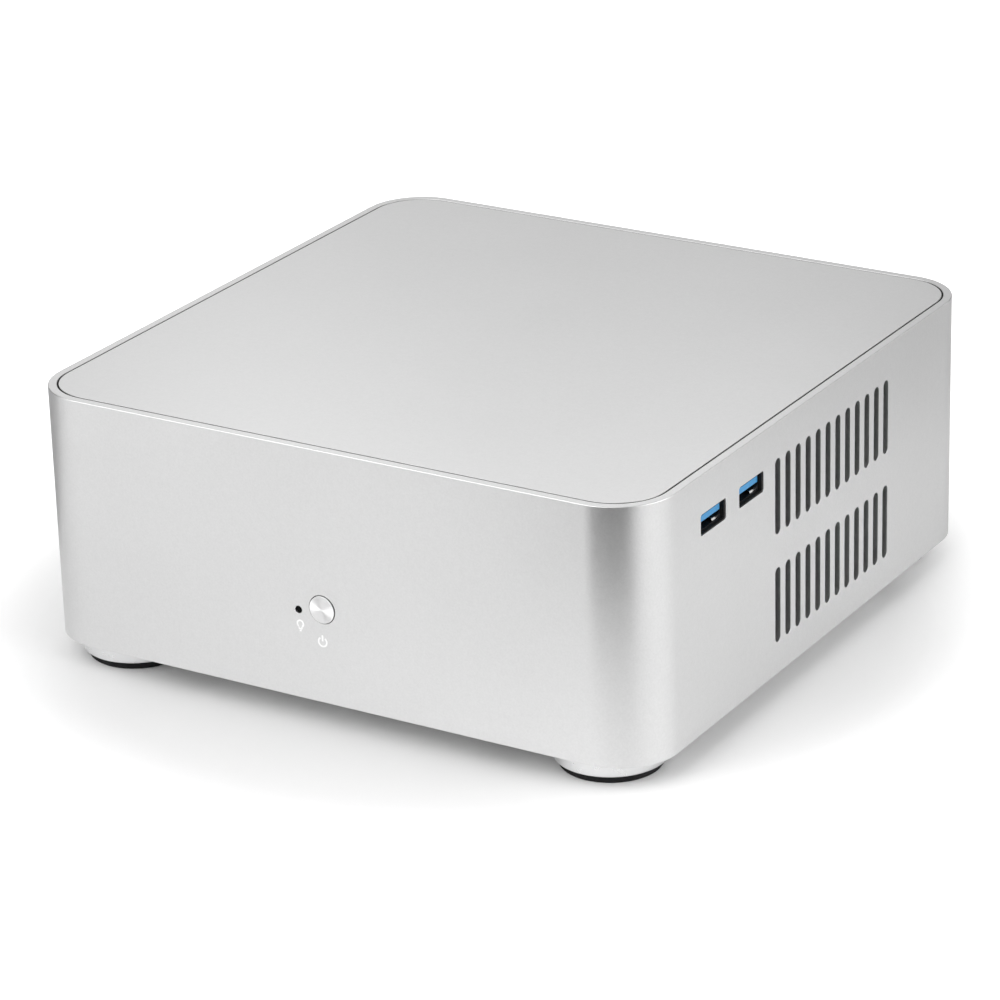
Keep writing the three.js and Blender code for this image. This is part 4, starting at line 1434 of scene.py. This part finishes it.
@dataclass
class FrontSigns:
    """The two white printed signs: a plain bulb under the light and the standby sign under the button."""

    bench: Bench
    stroke: float = 0.48 * MM
    film: float = 0.03 * MM
    standby_at: Pair = (-0.25 * MM, -9.6 * MM)
    ring: float = 1.32 * MM
    ring_gap: float = 35.0
    bar: Pair = (2.0 * MM, 0.2 * MM)
    bulb_at: Pair = (0.35 * MM, -4.13 * MM)
    glass: float = 0.98 * MM
    glass_open: float = 35.0
    neck: tuple[Pair, Pair] = ((0.45 * MM, -0.95 * MM), (0.42 * MM, -1.5 * MM))
    foot: Pair = (0.3 * MM, -2.05 * MM)

    def strip(self, name: str, path: Sequence[Pair]) -> bpy.types.Object:
        """A printed line of even width.

        Args:
            name: the object's name.
            path: its middle, as (x, z) points.

        Returns:
            The object.
        """
        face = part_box("shell")[0].y
        back, front = face + 0.01 * MM, face - self.film
        rings = []
        for i, (x, z) in enumerate(path):
            (x0, z0), (x1, z1) = path[max(i - 1, 0)], path[min(i + 1, len(path) - 1)]
            along = Vector((x1 - x0, z1 - z0)).normalized() * self.stroke / 2
            sides = ((-along.y, along.x, back), (along.y, -along.x, back))
            sides += ((along.y, -along.x, front), (-along.y, along.x, front))
            rings.append([(x + u, y, z + v) for u, v, y in sides])
        return loft(name, rings)

    def sign(self, name: str, node: str, offset: Pair, lines: Sequence[Sequence[Pair]]) -> None:
        """Prints one sign.

        Args:
            name: the sign's name.
            node: the frame node that it belongs to.
            offset: its middle, from the node's own, as (x, z).
            lines: the paths of its lines, from its middle.
        """
        x, z = (a + b for a, b in zip(Axis.Y.centre(node), offset))
        strips = [self.strip("line", [(x + u, z + v) for u, v in line]) for line in lines]
        self.bench.fit(joined(name, strips), WHITE_PRINT)

    def build(self) -> None:
        """Makes and mounts both signs."""
        ring = arc((0.0, 0.0), self.ring, 90 + self.ring_gap, 450 - self.ring_gap, 28)
        self.sign("standby_sign", "power_button", self.standby_at, [ring, [(0.0, v) for v in self.bar]])

        glass = arc((0.0, 0.0), self.glass, self.glass_open - 90, 270 - self.glass_open, 24)
        neck = [(-u, v) for u, v in self.neck] + list(self.neck[::-1])
        half, low = self.foot
        self.sign("bulb_sign", "status_light", self.bulb_at, [glass, neck, [(-half, low), (half, low)]])


# ---------------------------------------------------------------- sockets


@dataclass
class SocketInside:
    """What is inside one data socket: a metal liner, a blue tongue with contacts and two springs."""

    bench: Bench
    name: str
    axis: Axis
    centre: Pair
    face: float
    slot: str = "socket_blue"
    open_w: float = 12.6 * MM
    open_h: float = 5.1 * MM
    tongue_w: float = 11.2 * MM
    tongue_h: float = 1.9 * MM
    drop: float = 0.7 * MM
    recess: float = 0.9 * MM
    depth: float = 12.0 * MM
    collar: float = 1.1 * MM
    tongue_edge: float = 0.14 * MM
    root: float = 0.6 * MM
    liner_gap: float = 0.02 * MM
    liner_thick: float = 0.16 * MM
    spring_width: float = 1.9 * MM
    spring_length: float = 4.5 * MM
    spring_rise: float = 0.62 * MM
    spring_thick: float = 0.1 * MM
    spring_places: tuple[Pair, Pair] = ((-4.2 * MM, 3.2 * MM), (4.2 * MM, 0.3 * MM))

    def bar(self, name: str, u: Pair, v: Pair, t: Pair, edge: float = 0.0) -> bpy.types.Object:
        """A small block in the socket's own directions.

        Args:
            name: the object's name.
            u: where it starts and ends across the socket, from its middle.
            v: where it starts and ends upwards, from its middle.
            t: its depths below the socket's face, the deeper one first.
            edge: its chamfer.

        Returns:
            The object.
        """
        outline = Outline(u[1] - u[0], v[1] - v[0], max(edge, 0.0), 2 if edge else 1)
        centre = (self.centre[0] + (u[0] + u[1]) / 2, self.centre[1] + (v[0] + v[1]) / 2)
        start, end = self.face - t[0], self.face - t[1]
        if edge:
            return slab(name, self.axis, centre, outline, start, end, edge)
        return drawn(name, self.axis, centre, [(outline, 0.0, start), (outline, 0.0, end)])

    def liner(self) -> bpy.types.Object:
        """The thin metal liner of the opening.

        Returns:
            The object.
        """
        outer = Outline(self.open_w - 2 * self.liner_gap, self.open_h - 2 * self.liner_gap, 0.3 * MM, 4)
        front, back, thin = self.face - self.collar, self.face - self.depth + 0.4 * MM, -self.liner_thick
        sections = [(outer, 0.0, back), (outer, 0.0, front), (outer, thin, front), (outer, thin, back)]
        return drawn(f"{self.name}_liner", self.axis, self.centre, sections, hollow=True)

    def spring(self, u: float, back: float) -> bpy.types.Object:
        """A bowed contact spring that stands up from the socket's floor and narrows towards its end.

        Args:
            u: its place across the socket, from its middle.
            back: how far it stands behind the socket's collar.

        Returns:
            The object.
        """
        floor, steps = 0.2 * MM - self.open_h / 2, 16
        rings = []
        for share in (i / steps for i in range(steps + 1)):
            t = self.face - self.collar - back - self.spring_length * share
            low = floor + self.spring_rise * math.sin(math.pi * math.sqrt(share))
            high, half = low + self.spring_thick, self.spring_width * (1 - 0.35 * share)
            corners = ((u - half, low), (u + half, low), (u + half, high), (u - half, high))
            rings.append([self.axis.place(a, b, t, self.centre) for a, b in corners])
        return loft("spring", rings)

    def contacts(
        self, count: int, pitch: float, width: float, proud: float, depths: Pair
    ) -> list[bpy.types.Object]:
        """One row of contacts under the tongue.

        Args:
            count: how many there are.
            pitch: how far apart they are.
            width: how wide each one is.
            proud: how far each stands out of the tongue.
            depths: where they start and end below the socket's face, the deeper first.

        Returns:
            The contacts.
        """
        low = self.open_h / 2 - self.drop - self.tongue_h
        middles = [(i - (count - 1) / 2) * pitch for i in range(count)]
        upright = (low - proud, low + 0.05 * MM)
        return [self.bar("contact", (u - width / 2, u + width / 2), upright, depths) for u in middles]

    def build(self, tongue_replaces: Sequence[str]) -> None:
        """Makes and mounts the inside.

        Args:
            tongue_replaces: the frame nodes that the tongue stands for.
        """
        high = self.open_h / 2 - self.drop
        half = self.tongue_w / 2
        body = ((-half, half), (high - self.tongue_h, high), (self.depth, self.recess), self.tongue_edge)
        tongue = self.bar(f"{self.name}_tongue", *body)
        wide, tall = self.open_w / 2 - 0.2 * MM, self.open_h / 2 - 0.2 * MM
        root = self.bar("root", (-wide, wide), (-tall, tall), (self.depth, self.depth - self.root))
        Tool.ADD.apply(tongue, [root])
        self.bench.fit(tongue, SOCKET_BLUE, self.slot, tongue_replaces)
        self.bench.fit(self.liner(), LINER_STEEL)
        springs = [self.spring(*place) for place in self.spring_places]
        self.bench.fit(joined(f"{self.name}_springs", springs), CONTACT_METAL)
        contacts = self.contacts(4, 2.5 * MM, 1.0 * MM, 0.12 * MM, (9 * MM, 4.6 * MM))
        contacts += self.contacts(5, 2.0 * MM, 0.6 * MM, 0.1 * MM, (3.6 * MM, 2.2 * MM))
        self.bench.fit(joined(f"{self.name}_contacts", contacts), GOLD)


@dataclass
class SideSocket:
    """One data socket in the side wall: its black housing and its inside."""

    bench: Bench
    where: str
    outer: Outline = Outline(13.6 * MM, 5.7 * MM, 0.6 * MM, 5)
    inner: Outline = Outline(12.6 * MM, 5.1 * MM, 0.35 * MM, 5)
    edge: float = 0.12 * MM

    def build(self) -> None:
        """Makes and mounts the housing and what is in it."""
        node = f"usb_port_{self.where}"
        centre = Axis.X.centre(node)
        back, face = Axis.X.span(node)
        outer, inner, edge = self.outer, self.inner, self.edge
        sections = [
            (outer, 0.0, back), (outer, 0.0, face - edge), (outer, -edge, face),
            (inner, edge, face), (inner, 0.0, face - 2 * edge), (inner, 0.0, back),
        ]
        housing = drawn(f"{node}_housing", Axis.X, centre, sections, hollow=True)
        self.bench.fit(housing, BLACK_PLASTIC, "black_plastic", [node])
        inside = SocketInside(self.bench, node, Axis.X, centre, face, depth=face - back)
        inside.build([f"usb_tongue_{self.where}"])


# ---------------------------------------------------------------- the rear


@dataclass
class RearPanel:
    """The board's ports in the rear opening, with the stamped plate around them."""

    bench: Bench
    edge: float = 0.15 * MM
    flare: float = 0.2 * MM
    data_mouth: Outline = Outline(12.6 * MM, 5.1 * MM, 0.3 * MM, 3)
    data_corner: Pair = (7.4 * MM, 3.55 * MM)
    data_depth: float = 11.9 * MM
    network_mouth: Outline = Outline(12 * MM, 8.4 * MM, 0.2 * MM, 2)
    network_key: Outline = Outline(6.2 * MM, 2.4 * MM, 0.2 * MM, 2)
    network_wire: Pair = (0.36 * MM, 0.25 * MM)
    network_pitch: float = 1.02 * MM
    light: Outline = Outline(2.6 * MM, 1.5 * MM, 0.2 * MM, 3)
    light_apart: float = 6.2 * MM
    video_half: tuple[Pair, ...] = ((7 * MM, 2.3 * MM), (7 * MM, -0.6 * MM), (5.4 * MM, -2.3 * MM))
    video_tongue: Outline = Outline(11 * MM, 1.2 * MM, 0.15 * MM, 2)
    jack_first: float = 6 * MM
    jack_pitch: float = 11.5 * MM
    jack_seat: float = 3.1 * MM
    jack_bore: float = 1.8 * MM
    border: float = 1.6 * MM
    border_top: float = 1.3 * MM
    border_high: float = 0.35 * MM

    def can(self, node: str) -> tuple[bpy.types.Object, Vector, Vector]:
        """The plain block of a port, with rounded edges.

        Args:
            node: the frame node.

        Returns:
            The block and its lowest and highest corners.
        """
        low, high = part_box(node)
        outline = Outline(high.x - low.x, high.z - low.z, 0.4 * MM, 4)
        made = slab(f"{node}_body", Axis.Y, Axis.Y.centre(node), outline, low.y, high.y, self.edge)
        return made, low, high

    def mouth(self, centre: Pair, outline: Outline, face: float, depth: float) -> bpy.types.Object:
        """A cutter for a port's mouth, with a small flare.

        Args:
            centre: the mouth's centre.
            outline: its outline.
            face: the port's face.
            depth: how deep it goes.

        Returns:
            The cutter.
        """
        steps = ((self.flare + MM, face + MM), (0.0, face - self.flare), (0.0, face - depth))
        return drawn("mouth", Axis.Y, centre, [(outline, grow, y) for grow, y in steps])

    def usb(self) -> None:
        """The two stacks of data sockets."""
        node = "rear_usb_ports"
        can, low, high = self.can(node)
        across, up = (high.x - low.x) / 2, (high.z - low.z) / 2
        x, z = low.x + self.data_corner[0], low.z + self.data_corner[1]
        centres = [(x + column * across, z + row * up) for column in (0, 1) for row in (0, 1)]
        Tool.CUT.apply(can, [self.mouth(at, self.data_mouth, high.y, 12 * MM) for at in centres])
        self.bench.fit(can, PORT_STEEL, "port_steel", [node])
        for i, at in enumerate(centres):
            name = f"rear_usb_{i + 1}"
            SocketInside(self.bench, name, Axis.Y, at, high.y, "port_steel", depth=self.data_depth).build([])

    def network(self) -> None:
        """The network port with its eight contacts and two light windows."""
        node = "rear_network_port"
        can, _, high = self.can(node)
        x, z = centre = Axis.Y.centre(node)
        half = self.network_mouth.height / 2
        Tool.CUT.apply(can, [self.mouth(centre, self.network_mouth, high.y, 14 * MM)])
        Tool.CUT.apply(can, [self.mouth((x, z + half), self.network_key, high.y, 9 * MM)])
        self.bench.fit(can, PORT_STEEL, "port_steel", [node])
        wires = [self.wire(x + (i - 3.5) * self.network_pitch, high.y, z - half) for i in range(8)]
        self.bench.fit(joined("network_contacts", wires), GOLD)
        for i, side in enumerate((-1, 1)):
            at = (x + side * self.light_apart, high.z - self.light.height)
            ends = (high.y - MM, high.y + 0.12 * MM)
            window = slab(f"network_light_{i + 1}", Axis.Y, at, self.light, *ends, 0.05 * MM)
            self.bench.fit(window, LIGHT_WINDOW)

    def wire(self, x: float, face: float, floor: float) -> bpy.types.Object:
        """One contact wire of the network port, which rises inwards from its floor.

        Args:
            x: the wire's middle.
            face: the port's face.
            floor: the floor of its mouth.

        Returns:
            The object.
        """
        wide, thick = self.network_wire
        start, length, lift, rise, steps = 2.5 * MM, 8 * MM, 0.3 * MM, 2.6 * MM, 8
        rings = []
        for share in (k / steps for k in range(steps + 1)):
            y, low = face - start - length * share, floor + lift + rise * share
            corners = ((-wide / 2, low), (wide / 2, low), (wide / 2, low + thick), (-wide / 2, low + thick))
            rings.append([(x + u, y, z) for u, z in corners])
        return loft("wire", rings)

    def video(self) -> None:
        """The video port: a mouth with cut lower corners and a black tongue."""
        node = "rear_video_port"
        can, _, high = self.can(node)
        x, z = at = Axis.Y.centre(node)
        shape = [*self.video_half, *((-u, v) for u, v in self.video_half[::-1])]
        rings = [[(x + u, y, z + v) for u, v in shape] for y in (high.y + MM, high.y - 8 * MM)]
        Tool.CUT.apply(can, [loft("mouth", rings)])
        self.bench.fit(can, PORT_STEEL, "port_steel", [node])
        ends = (high.y - 8.5 * MM, high.y - 1.5 * MM)
        self.bench.fit(slab("video_tongue", Axis.Y, at, self.video_tongue, *ends, 0.1 * MM), BLACK_PLASTIC)

    def audio(self) -> None:
        """The three stacked sound jacks, each with its coloured ring."""
        node = "rear_audio_port"
        can, low, high = self.can(node)
        x, face = (low.x + high.x) / 2, high.y
        centres = [(x, low.z + self.jack_first + self.jack_pitch * i) for i in range(3)]
        seat = face - 0.8 * MM
        hole = [(self.jack_seat, face + MM), (self.jack_seat, seat)]
        hole += [(self.jack_bore, seat), (self.jack_bore, face - 11 * MM)]
        Tool.CUT.apply(can, [turned("hole", Axis.Y, at, hole, 8) for at in centres])
        self.bench.fit(can, BLACK_PLASTIC, "black_plastic", [node])
        inner, outer, back, front = 1.85 * MM, 3.0 * MM, face - 0.7 * MM, face + 0.25 * MM
        ring = [(inner, back), (outer, back), (outer, face - 0.1 * MM)]
        ring += [(2.7 * MM, front), (2.1 * MM, front), (inner, face)]
        for i, (at, finish) in enumerate(zip(centres, (JACK_PINK, JACK_GREEN, JACK_BLUE))):
            self.bench.fit(turned(f"audio_ring_{i + 1}", Axis.Y, at, ring, 12, hollow=True), finish)

    def plate(self) -> None:
        """The stamped plate with a raised border around each port."""
        low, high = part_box("io_shield")
        outline = Outline(high.x - low.x, high.z - low.z, MM, 3)
        made = slab("io_shield_plate", Axis.Y, Axis.Y.centre("io_shield"), outline, low.y, high.y, 0.1 * MM)
        borders, windows = [], []
        for node in ("rear_usb_ports", "rear_network_port", "rear_video_port", "rear_audio_port"):
            start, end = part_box(node)
            size = Outline(end.x - start.x + 0.6 * MM, end.z - start.z + 0.6 * MM, 0.4 * MM, 3)
            at = Axis.Y.centre(node)
            back, front, top = high.y - 0.1 * MM, high.y + 0.1 * MM, high.y + self.border_high
            profile = [(self.border, back), (self.border, front), (self.border_top, top)]
            profile += [(0.0, top), (0.0, back)]
            borders.append(drawn("border", Axis.Y, at, [(size, grow, y) for grow, y in profile], hollow=True))
            through = [(size, 0.0, low.y - MM), (size, 0.0, high.y + 2 * MM)]
            windows.append(drawn("window", Axis.Y, at, through))
        Tool.ADD.apply(made, borders)
        Tool.CUT.apply(made, windows)
        self.bench.fit(made, PORT_STEEL, "port_steel", ["io_shield"])

    def build(self) -> None:
        """Makes and mounts everything in the rear opening."""
        self.plate()
        self.usb()
        self.network()
        self.video()
        self.audio()


@dataclass
class PowerInlet:
    """The round low-voltage inlet in the rear wall."""

    bench: Bench
    barrel: float = 3.9 * MM
    flange: float = 5.1 * MM
    flange_thick: float = 1.3 * MM
    bevel: float = 0.35 * MM
    mouth: float = 2.75 * MM
    mouth_edge: float = 0.4 * MM
    depth: float = 10.5 * MM
    core: float = 0.3 * MM
    pin: float = 0.98 * MM
    pin_tip: float = 0.7 * MM
    pin_back: float = 1.9 * MM

    def build(self) -> None:
        """Makes and mounts the inlet and its pin."""
        at = Axis.Y.centre("dc_jack")
        back, front = Axis.Y.span("dc_jack")
        seat, end = front - self.flange_thick, front - self.depth
        profile = [(self.barrel, back), (self.barrel, seat), (self.flange, seat)]
        profile += [(self.flange, front - self.bevel), (self.flange - self.bevel, front)]
        profile += [(self.mouth + self.bevel, front), (self.mouth, front - self.mouth_edge)]
        profile += [(self.mouth, end), (self.core, end), (self.core, back)]
        body = turned("dc_jack_body", Axis.Y, at, profile, 14, hollow=True)
        self.bench.fit(body, BLACK_PLASTIC, "black_plastic", ["dc_jack"])
        tip = front - self.pin_back
        pin = [(self.pin, end + 0.1 * MM), (self.pin, tip - 0.2 * MM), (self.pin_tip, tip)]
        self.bench.fit(turned("dc_jack_pin", Axis.Y, at, pin, 8), CONTACT_METAL)


# ---------------------------------------------------------------- inside and studio


@dataclass
class Inside:
    """The pieces in the case that keep the frame's own shape."""

    bench: Bench

    def build(self) -> None:
        """Dresses every frame node that still shows."""
        for row in frame["record"]["subparts"]:
            piece = frame["nodes"][row["node"]]
            if not piece.hide_render:
                self.bench.dress(row["node"], SLOT_FINISH[row["material_slot"]])
                log.info("dressed %s as %s", row["node"], row["material_slot"])


@dataclass(frozen=True)
class FloorFlag:
    """A black net on the floor that fades out sideways and between two radii.

    It shows only in gloss, or, where it is marked as seen, only to the camera, as painted shadow on the
    floor.
    """

    name: str
    centre: Pair
    facing: float
    spread: Pair
    reach: Pair
    density: float = 1.0
    end: float = 2.2
    height: float = 0.8 * MM
    seen: bool = False
    black: Colour = (0.002, 0.002, 0.002)

    def cloth(self) -> bpy.types.Material:
        """The black cloth's material, clear where it fades out.

        Returns:
            The material.
        """
        paint = Paint(self.name)
        moved = paint.vector("SUBTRACT", paint.where, (*self.centre, self.height))[0]
        distance = paint.vector("LENGTH", moved)["Value"]
        ahead = paint.vector("DOT_PRODUCT", moved, direction(self.facing))["Value"] / distance
        near, far = self.reach
        inner, outer = (math.cos(math.radians(a)) for a in self.spread)
        share = paint.fade(distance, near, far) * paint.fade(ahead, outer, inner) * self.density
        clear = paint.node("ShaderNodeBsdfTransparent")["BSDF"]
        black = paint.node("ShaderNodeBsdfDiffuse", None, {"Color": (*self.black, 1.0)})["BSDF"]
        mixed = paint.node("ShaderNodeMixShader", None, {0: share, 1: clear, 2: black})[0]
        paint.node("ShaderNodeOutputMaterial", None, {"Surface": mixed})
        return paint.material

    def build(self) -> None:
        """Lays the cloth."""
        angles = [math.radians(self.facing + self.spread[1] * i / 8) for i in range(-8, 9)]
        edges = []
        for radius in (self.reach[0], self.end):
            x, y = self.centre
            edges.append([(x + radius * math.sin(a), y - radius * math.cos(a), self.height) for a in angles])
        count = len(angles)
        faces = [(i, i + 1, count + i + 1, count + i) for i in range(count - 1)]
        card = piece_from(self.name, edges[0] + edges[1], faces)
        card.data.materials.append(self.cloth())
        # Where it is seen, the cloth is painted shadow that only the camera sees.
        card.visible_camera = self.seen
        card.visible_glossy = not self.seen
        card.visible_diffuse = False
        card.visible_shadow = False
        card.visible_transmission = False


def sheet(name: str, side: float, height: float) -> bpy.types.Object:
    """A level square sheet around the middle of the floor.

    Args:
        name: the object's name.
        side: the length of its sides.
        height: how high it lies.

    Returns:
        The object.
    """
    half = side / 2
    corners = ((-half, -half), (half, -half), (half, half), (-half, half))
    return piece_from(name, [(x, y, height) for x, y in corners], [(0, 1, 2, 3)])


def glowing(card: bpy.types.Object, paint: Paint, glow: Wire) -> None:
    """Makes a card clear but for a glow, and hides it from diffuse light and shadows.

    Args:
        card: the card.
        paint: its material's nodes.
        glow: how brightly it glows.
    """
    light = paint.node("ShaderNodeEmission", None, {"Color": glow, "Strength": 1.0})["Emission"]
    clear = paint.node("ShaderNodeBsdfTransparent")["BSDF"]
    both = paint.node("ShaderNodeAddShader", None, {0: clear, 1: light})[0]
    paint.node("ShaderNodeOutputMaterial", None, {"Surface": both})
    card.data.materials.append(paint.material)
    card.visible_diffuse = False
    card.visible_shadow = False


@dataclass(frozen=True)
class SkyLamp:
    """A wide soft patch of light, far away."""

    azimuth: float
    elevation: float
    strength: float
    focus: float = 14.0

    def glow(self, paint: Paint) -> Wire:
        """Its share of the surroundings' brightness.

        Args:
            paint: the world's nodes.

        Returns:
            The brightness.
        """
        facing = paint.vector("DOT_PRODUCT", paint.where, direction(self.azimuth, self.elevation))["Value"]
        return ((facing - 1.0) * self.focus).exp() * self.strength


@dataclass
class GradientCard:
    """A tall card behind the computer that only gloss sees: bright patches that fade into each other."""

    name: str = "gradient_card"
    azimuth: float = 211.6
    away: float = 0.55
    half: float = 0.7
    foot: float = 2.0 * MM
    high: float = 0.8
    patch: float = 0.075
    patches: tuple[Point, ...] = (
        (-0.12, 0.44, 0.363), (0.12, 0.44, 0.78), (-0.12, 0.6, 2.88), (0.12, 0.6, 1.98)
    )

    def build(self) -> None:
        """Makes and stands the card."""
        middle = Vector(direction(self.azimuth)) * self.away
        side = Vector(direction(self.azimuth + 90))
        low, high = Vector((0, 0, self.foot)), Vector((0, 0, self.high))
        left, right = middle - side * self.half, middle + side * self.half
        card = piece_from(self.name, [left + low, right + low, right + high, left + high], [(0, 1, 2, 3)])
        paint = Paint(self.name)
        glow = 0.0
        for u, z, strength in self.patches:
            centre = middle + side * u + Vector((0, 0, z))
            away = paint.distance(tuple(centre), (1.0, 1.0, 1.0))
            glow = (away**2 * (-0.5 / self.patch**2)).exp() * strength + glow
        glowing(card, paint, glow)
        card.visible_camera = False


@dataclass
class FloorGlow:
    """A faint glow over the paper away from the computer, so that the paper turns quite white."""

    name: str = "floor_glow"
    side: float = 14.0
    height: float = 1.3 * MM
    strength: float = 0.5
    centre: Point = (0.0, -0.018, 0.0)
    start: float = 0.116
    full: float = 0.175

    def build(self) -> None:
        """Makes and lays the glow."""
        card = sheet(self.name, self.side, self.height)
        paint = Paint(self.name)
        away = paint.distance(self.centre, (1.0, 1.0, 0.0))
        glowing(card, paint, paint.fade(away, self.start, self.full) * self.strength)
        card.visible_glossy = False


@dataclass
class Studio:
    """The pale floor, the soft lights and the camera."""

    floor_side: float = 14.0
    lamps: tuple[SkyLamp, ...] = (
        SkyLamp(0, 6, 0.464),
        SkyLamp(90, 6, 5.228),
        SkyLamp(120, 6, 2.221),
        SkyLamp(210, 6, 0.669),
        SkyLamp(330, 6, 1.905),
        SkyLamp(105, 28, 2.561),
        SkyLamp(135, 28, 1.204),
        SkyLamp(225, 28, 0.797),
        SkyLamp(315, 28, 2.511),
        SkyLamp(345, 28, 2.251),
        SkyLamp(0, 52, 1.270),
        SkyLamp(315, 52, 1.288),
        SkyLamp(0, 74, 1.399),
        SkyLamp(0, 90, 0.574),
    )
    level: float = 0.8
    nets: tuple[FloorFlag, ...] = (
        FloorFlag("flag_front", (0.081, -0.081), 18.0, (26.0, 48.0), (0.125, 0.185)),
        FloorFlag("flag_right", (0.0985, 0.0), 150.0, (30.0, 60.0), (0.1, 0.28), 0.4, height=0.9 * MM),
        FloorFlag("flag_left", (-0.0985, 0.0), 250.0, (40.0, 70.0), (0.03, 0.1), 0.55, height=1.0 * MM),
        # front_shade is painted shadow: a dark sheet that only the camera sees, darkening the floor in front
        # of the computer.
        FloorFlag("front_shade", (0.0, 0.3), 0.0, (6.0, 15.0), (0.47, 0.395), 0.2, 0.36, 1.1 * MM, True),
    )
    camera_at: Point = (0.58586, -0.95989, 0.49554)
    yaw: float = -31.596
    pitch: float = 22.434
    roll: float = -1.617
    lens: float = 151.48
    sensor: float = 36.0

    def floor(self, palette: Palette) -> None:
        """Lays the floor.

        Args:
            palette: where its material comes from.
        """
        paper = sheet("studio_floor", self.floor_side, 0.0)
        paper.data.materials.append(palette.material(StudioPaper()))

    def world(self) -> None:
        """Sets the soft lights all round."""
        paint = Paint("studio_light", "worlds")
        glow = 0.0
        for lamp in self.lamps:
            glow = lamp.glow(paint) + glow
        light = paint.node("ShaderNodeBackground", None, {"Color": glow * self.level, "Strength": 1.0})[0]
        paint.node("ShaderNodeOutputWorld", None, {"Surface": light})
        bpy.context.scene.world = paint.material

    def camera(self) -> None:
        """Places the camera."""
        yaw, pitch, roll = (math.radians(a) for a in (self.yaw, self.pitch, self.roll))
        forward = Vector((math.sin(yaw) * math.cos(pitch), math.cos(yaw) * math.cos(pitch), -math.sin(pitch)))
        level = Vector((math.cos(yaw), -math.sin(yaw), 0.0))
        upright = level.cross(forward)
        right = math.cos(roll) * level + math.sin(roll) * upright
        up = math.cos(roll) * upright - math.sin(roll) * level
        data = bpy.data.cameras.new("studio_camera")
        data.sensor_width = self.sensor
        data.lens = self.lens
        data.clip_start = 0.05
        camera = bpy.data.objects.new("studio_camera", data)
        turn = Matrix((right, up, -forward)).transposed().to_4x4()
        camera.matrix_world = Matrix.Translation(self.camera_at) @ turn
        bpy.context.scene.collection.objects.link(camera)
        bpy.context.scene.camera = camera

    def build(self, palette: Palette) -> None:
        """Sets up the whole studio.

        Args:
            palette: where the floor's material comes from.
        """
        self.camera()
        self.floor(palette)
        self.world()
        for net in self.nets:
            net.build()
        GradientCard().build()
        FloorGlow().build()
        bpy.context.scene.view_settings.view_transform = "Standard"


def main() -> None:
    """Builds the computer and its studio, piece by piece."""
    logging.basicConfig(level=logging.INFO, format="%(name)s: %(message)s")
    bench = Bench()
    Studio().build(bench.palette)
    shell = CaseShell(bench)
    shell.build()
    Covers(bench, shell).build()
    for corner in CORNERS:
        Foot(bench, corner).build()
        CaseScrew(bench, corner).build()
    PowerButton(bench, shell).build()
    StatusLight(bench).build()
    FrontSigns(bench).build()
    for where in ("front", "rear"):
        SideSocket(bench, where).build()
    RearPanel(bench).build()
    PowerInlet(bench).build()
    Inside(bench).build()


if __name__ == "__main__":
    main()
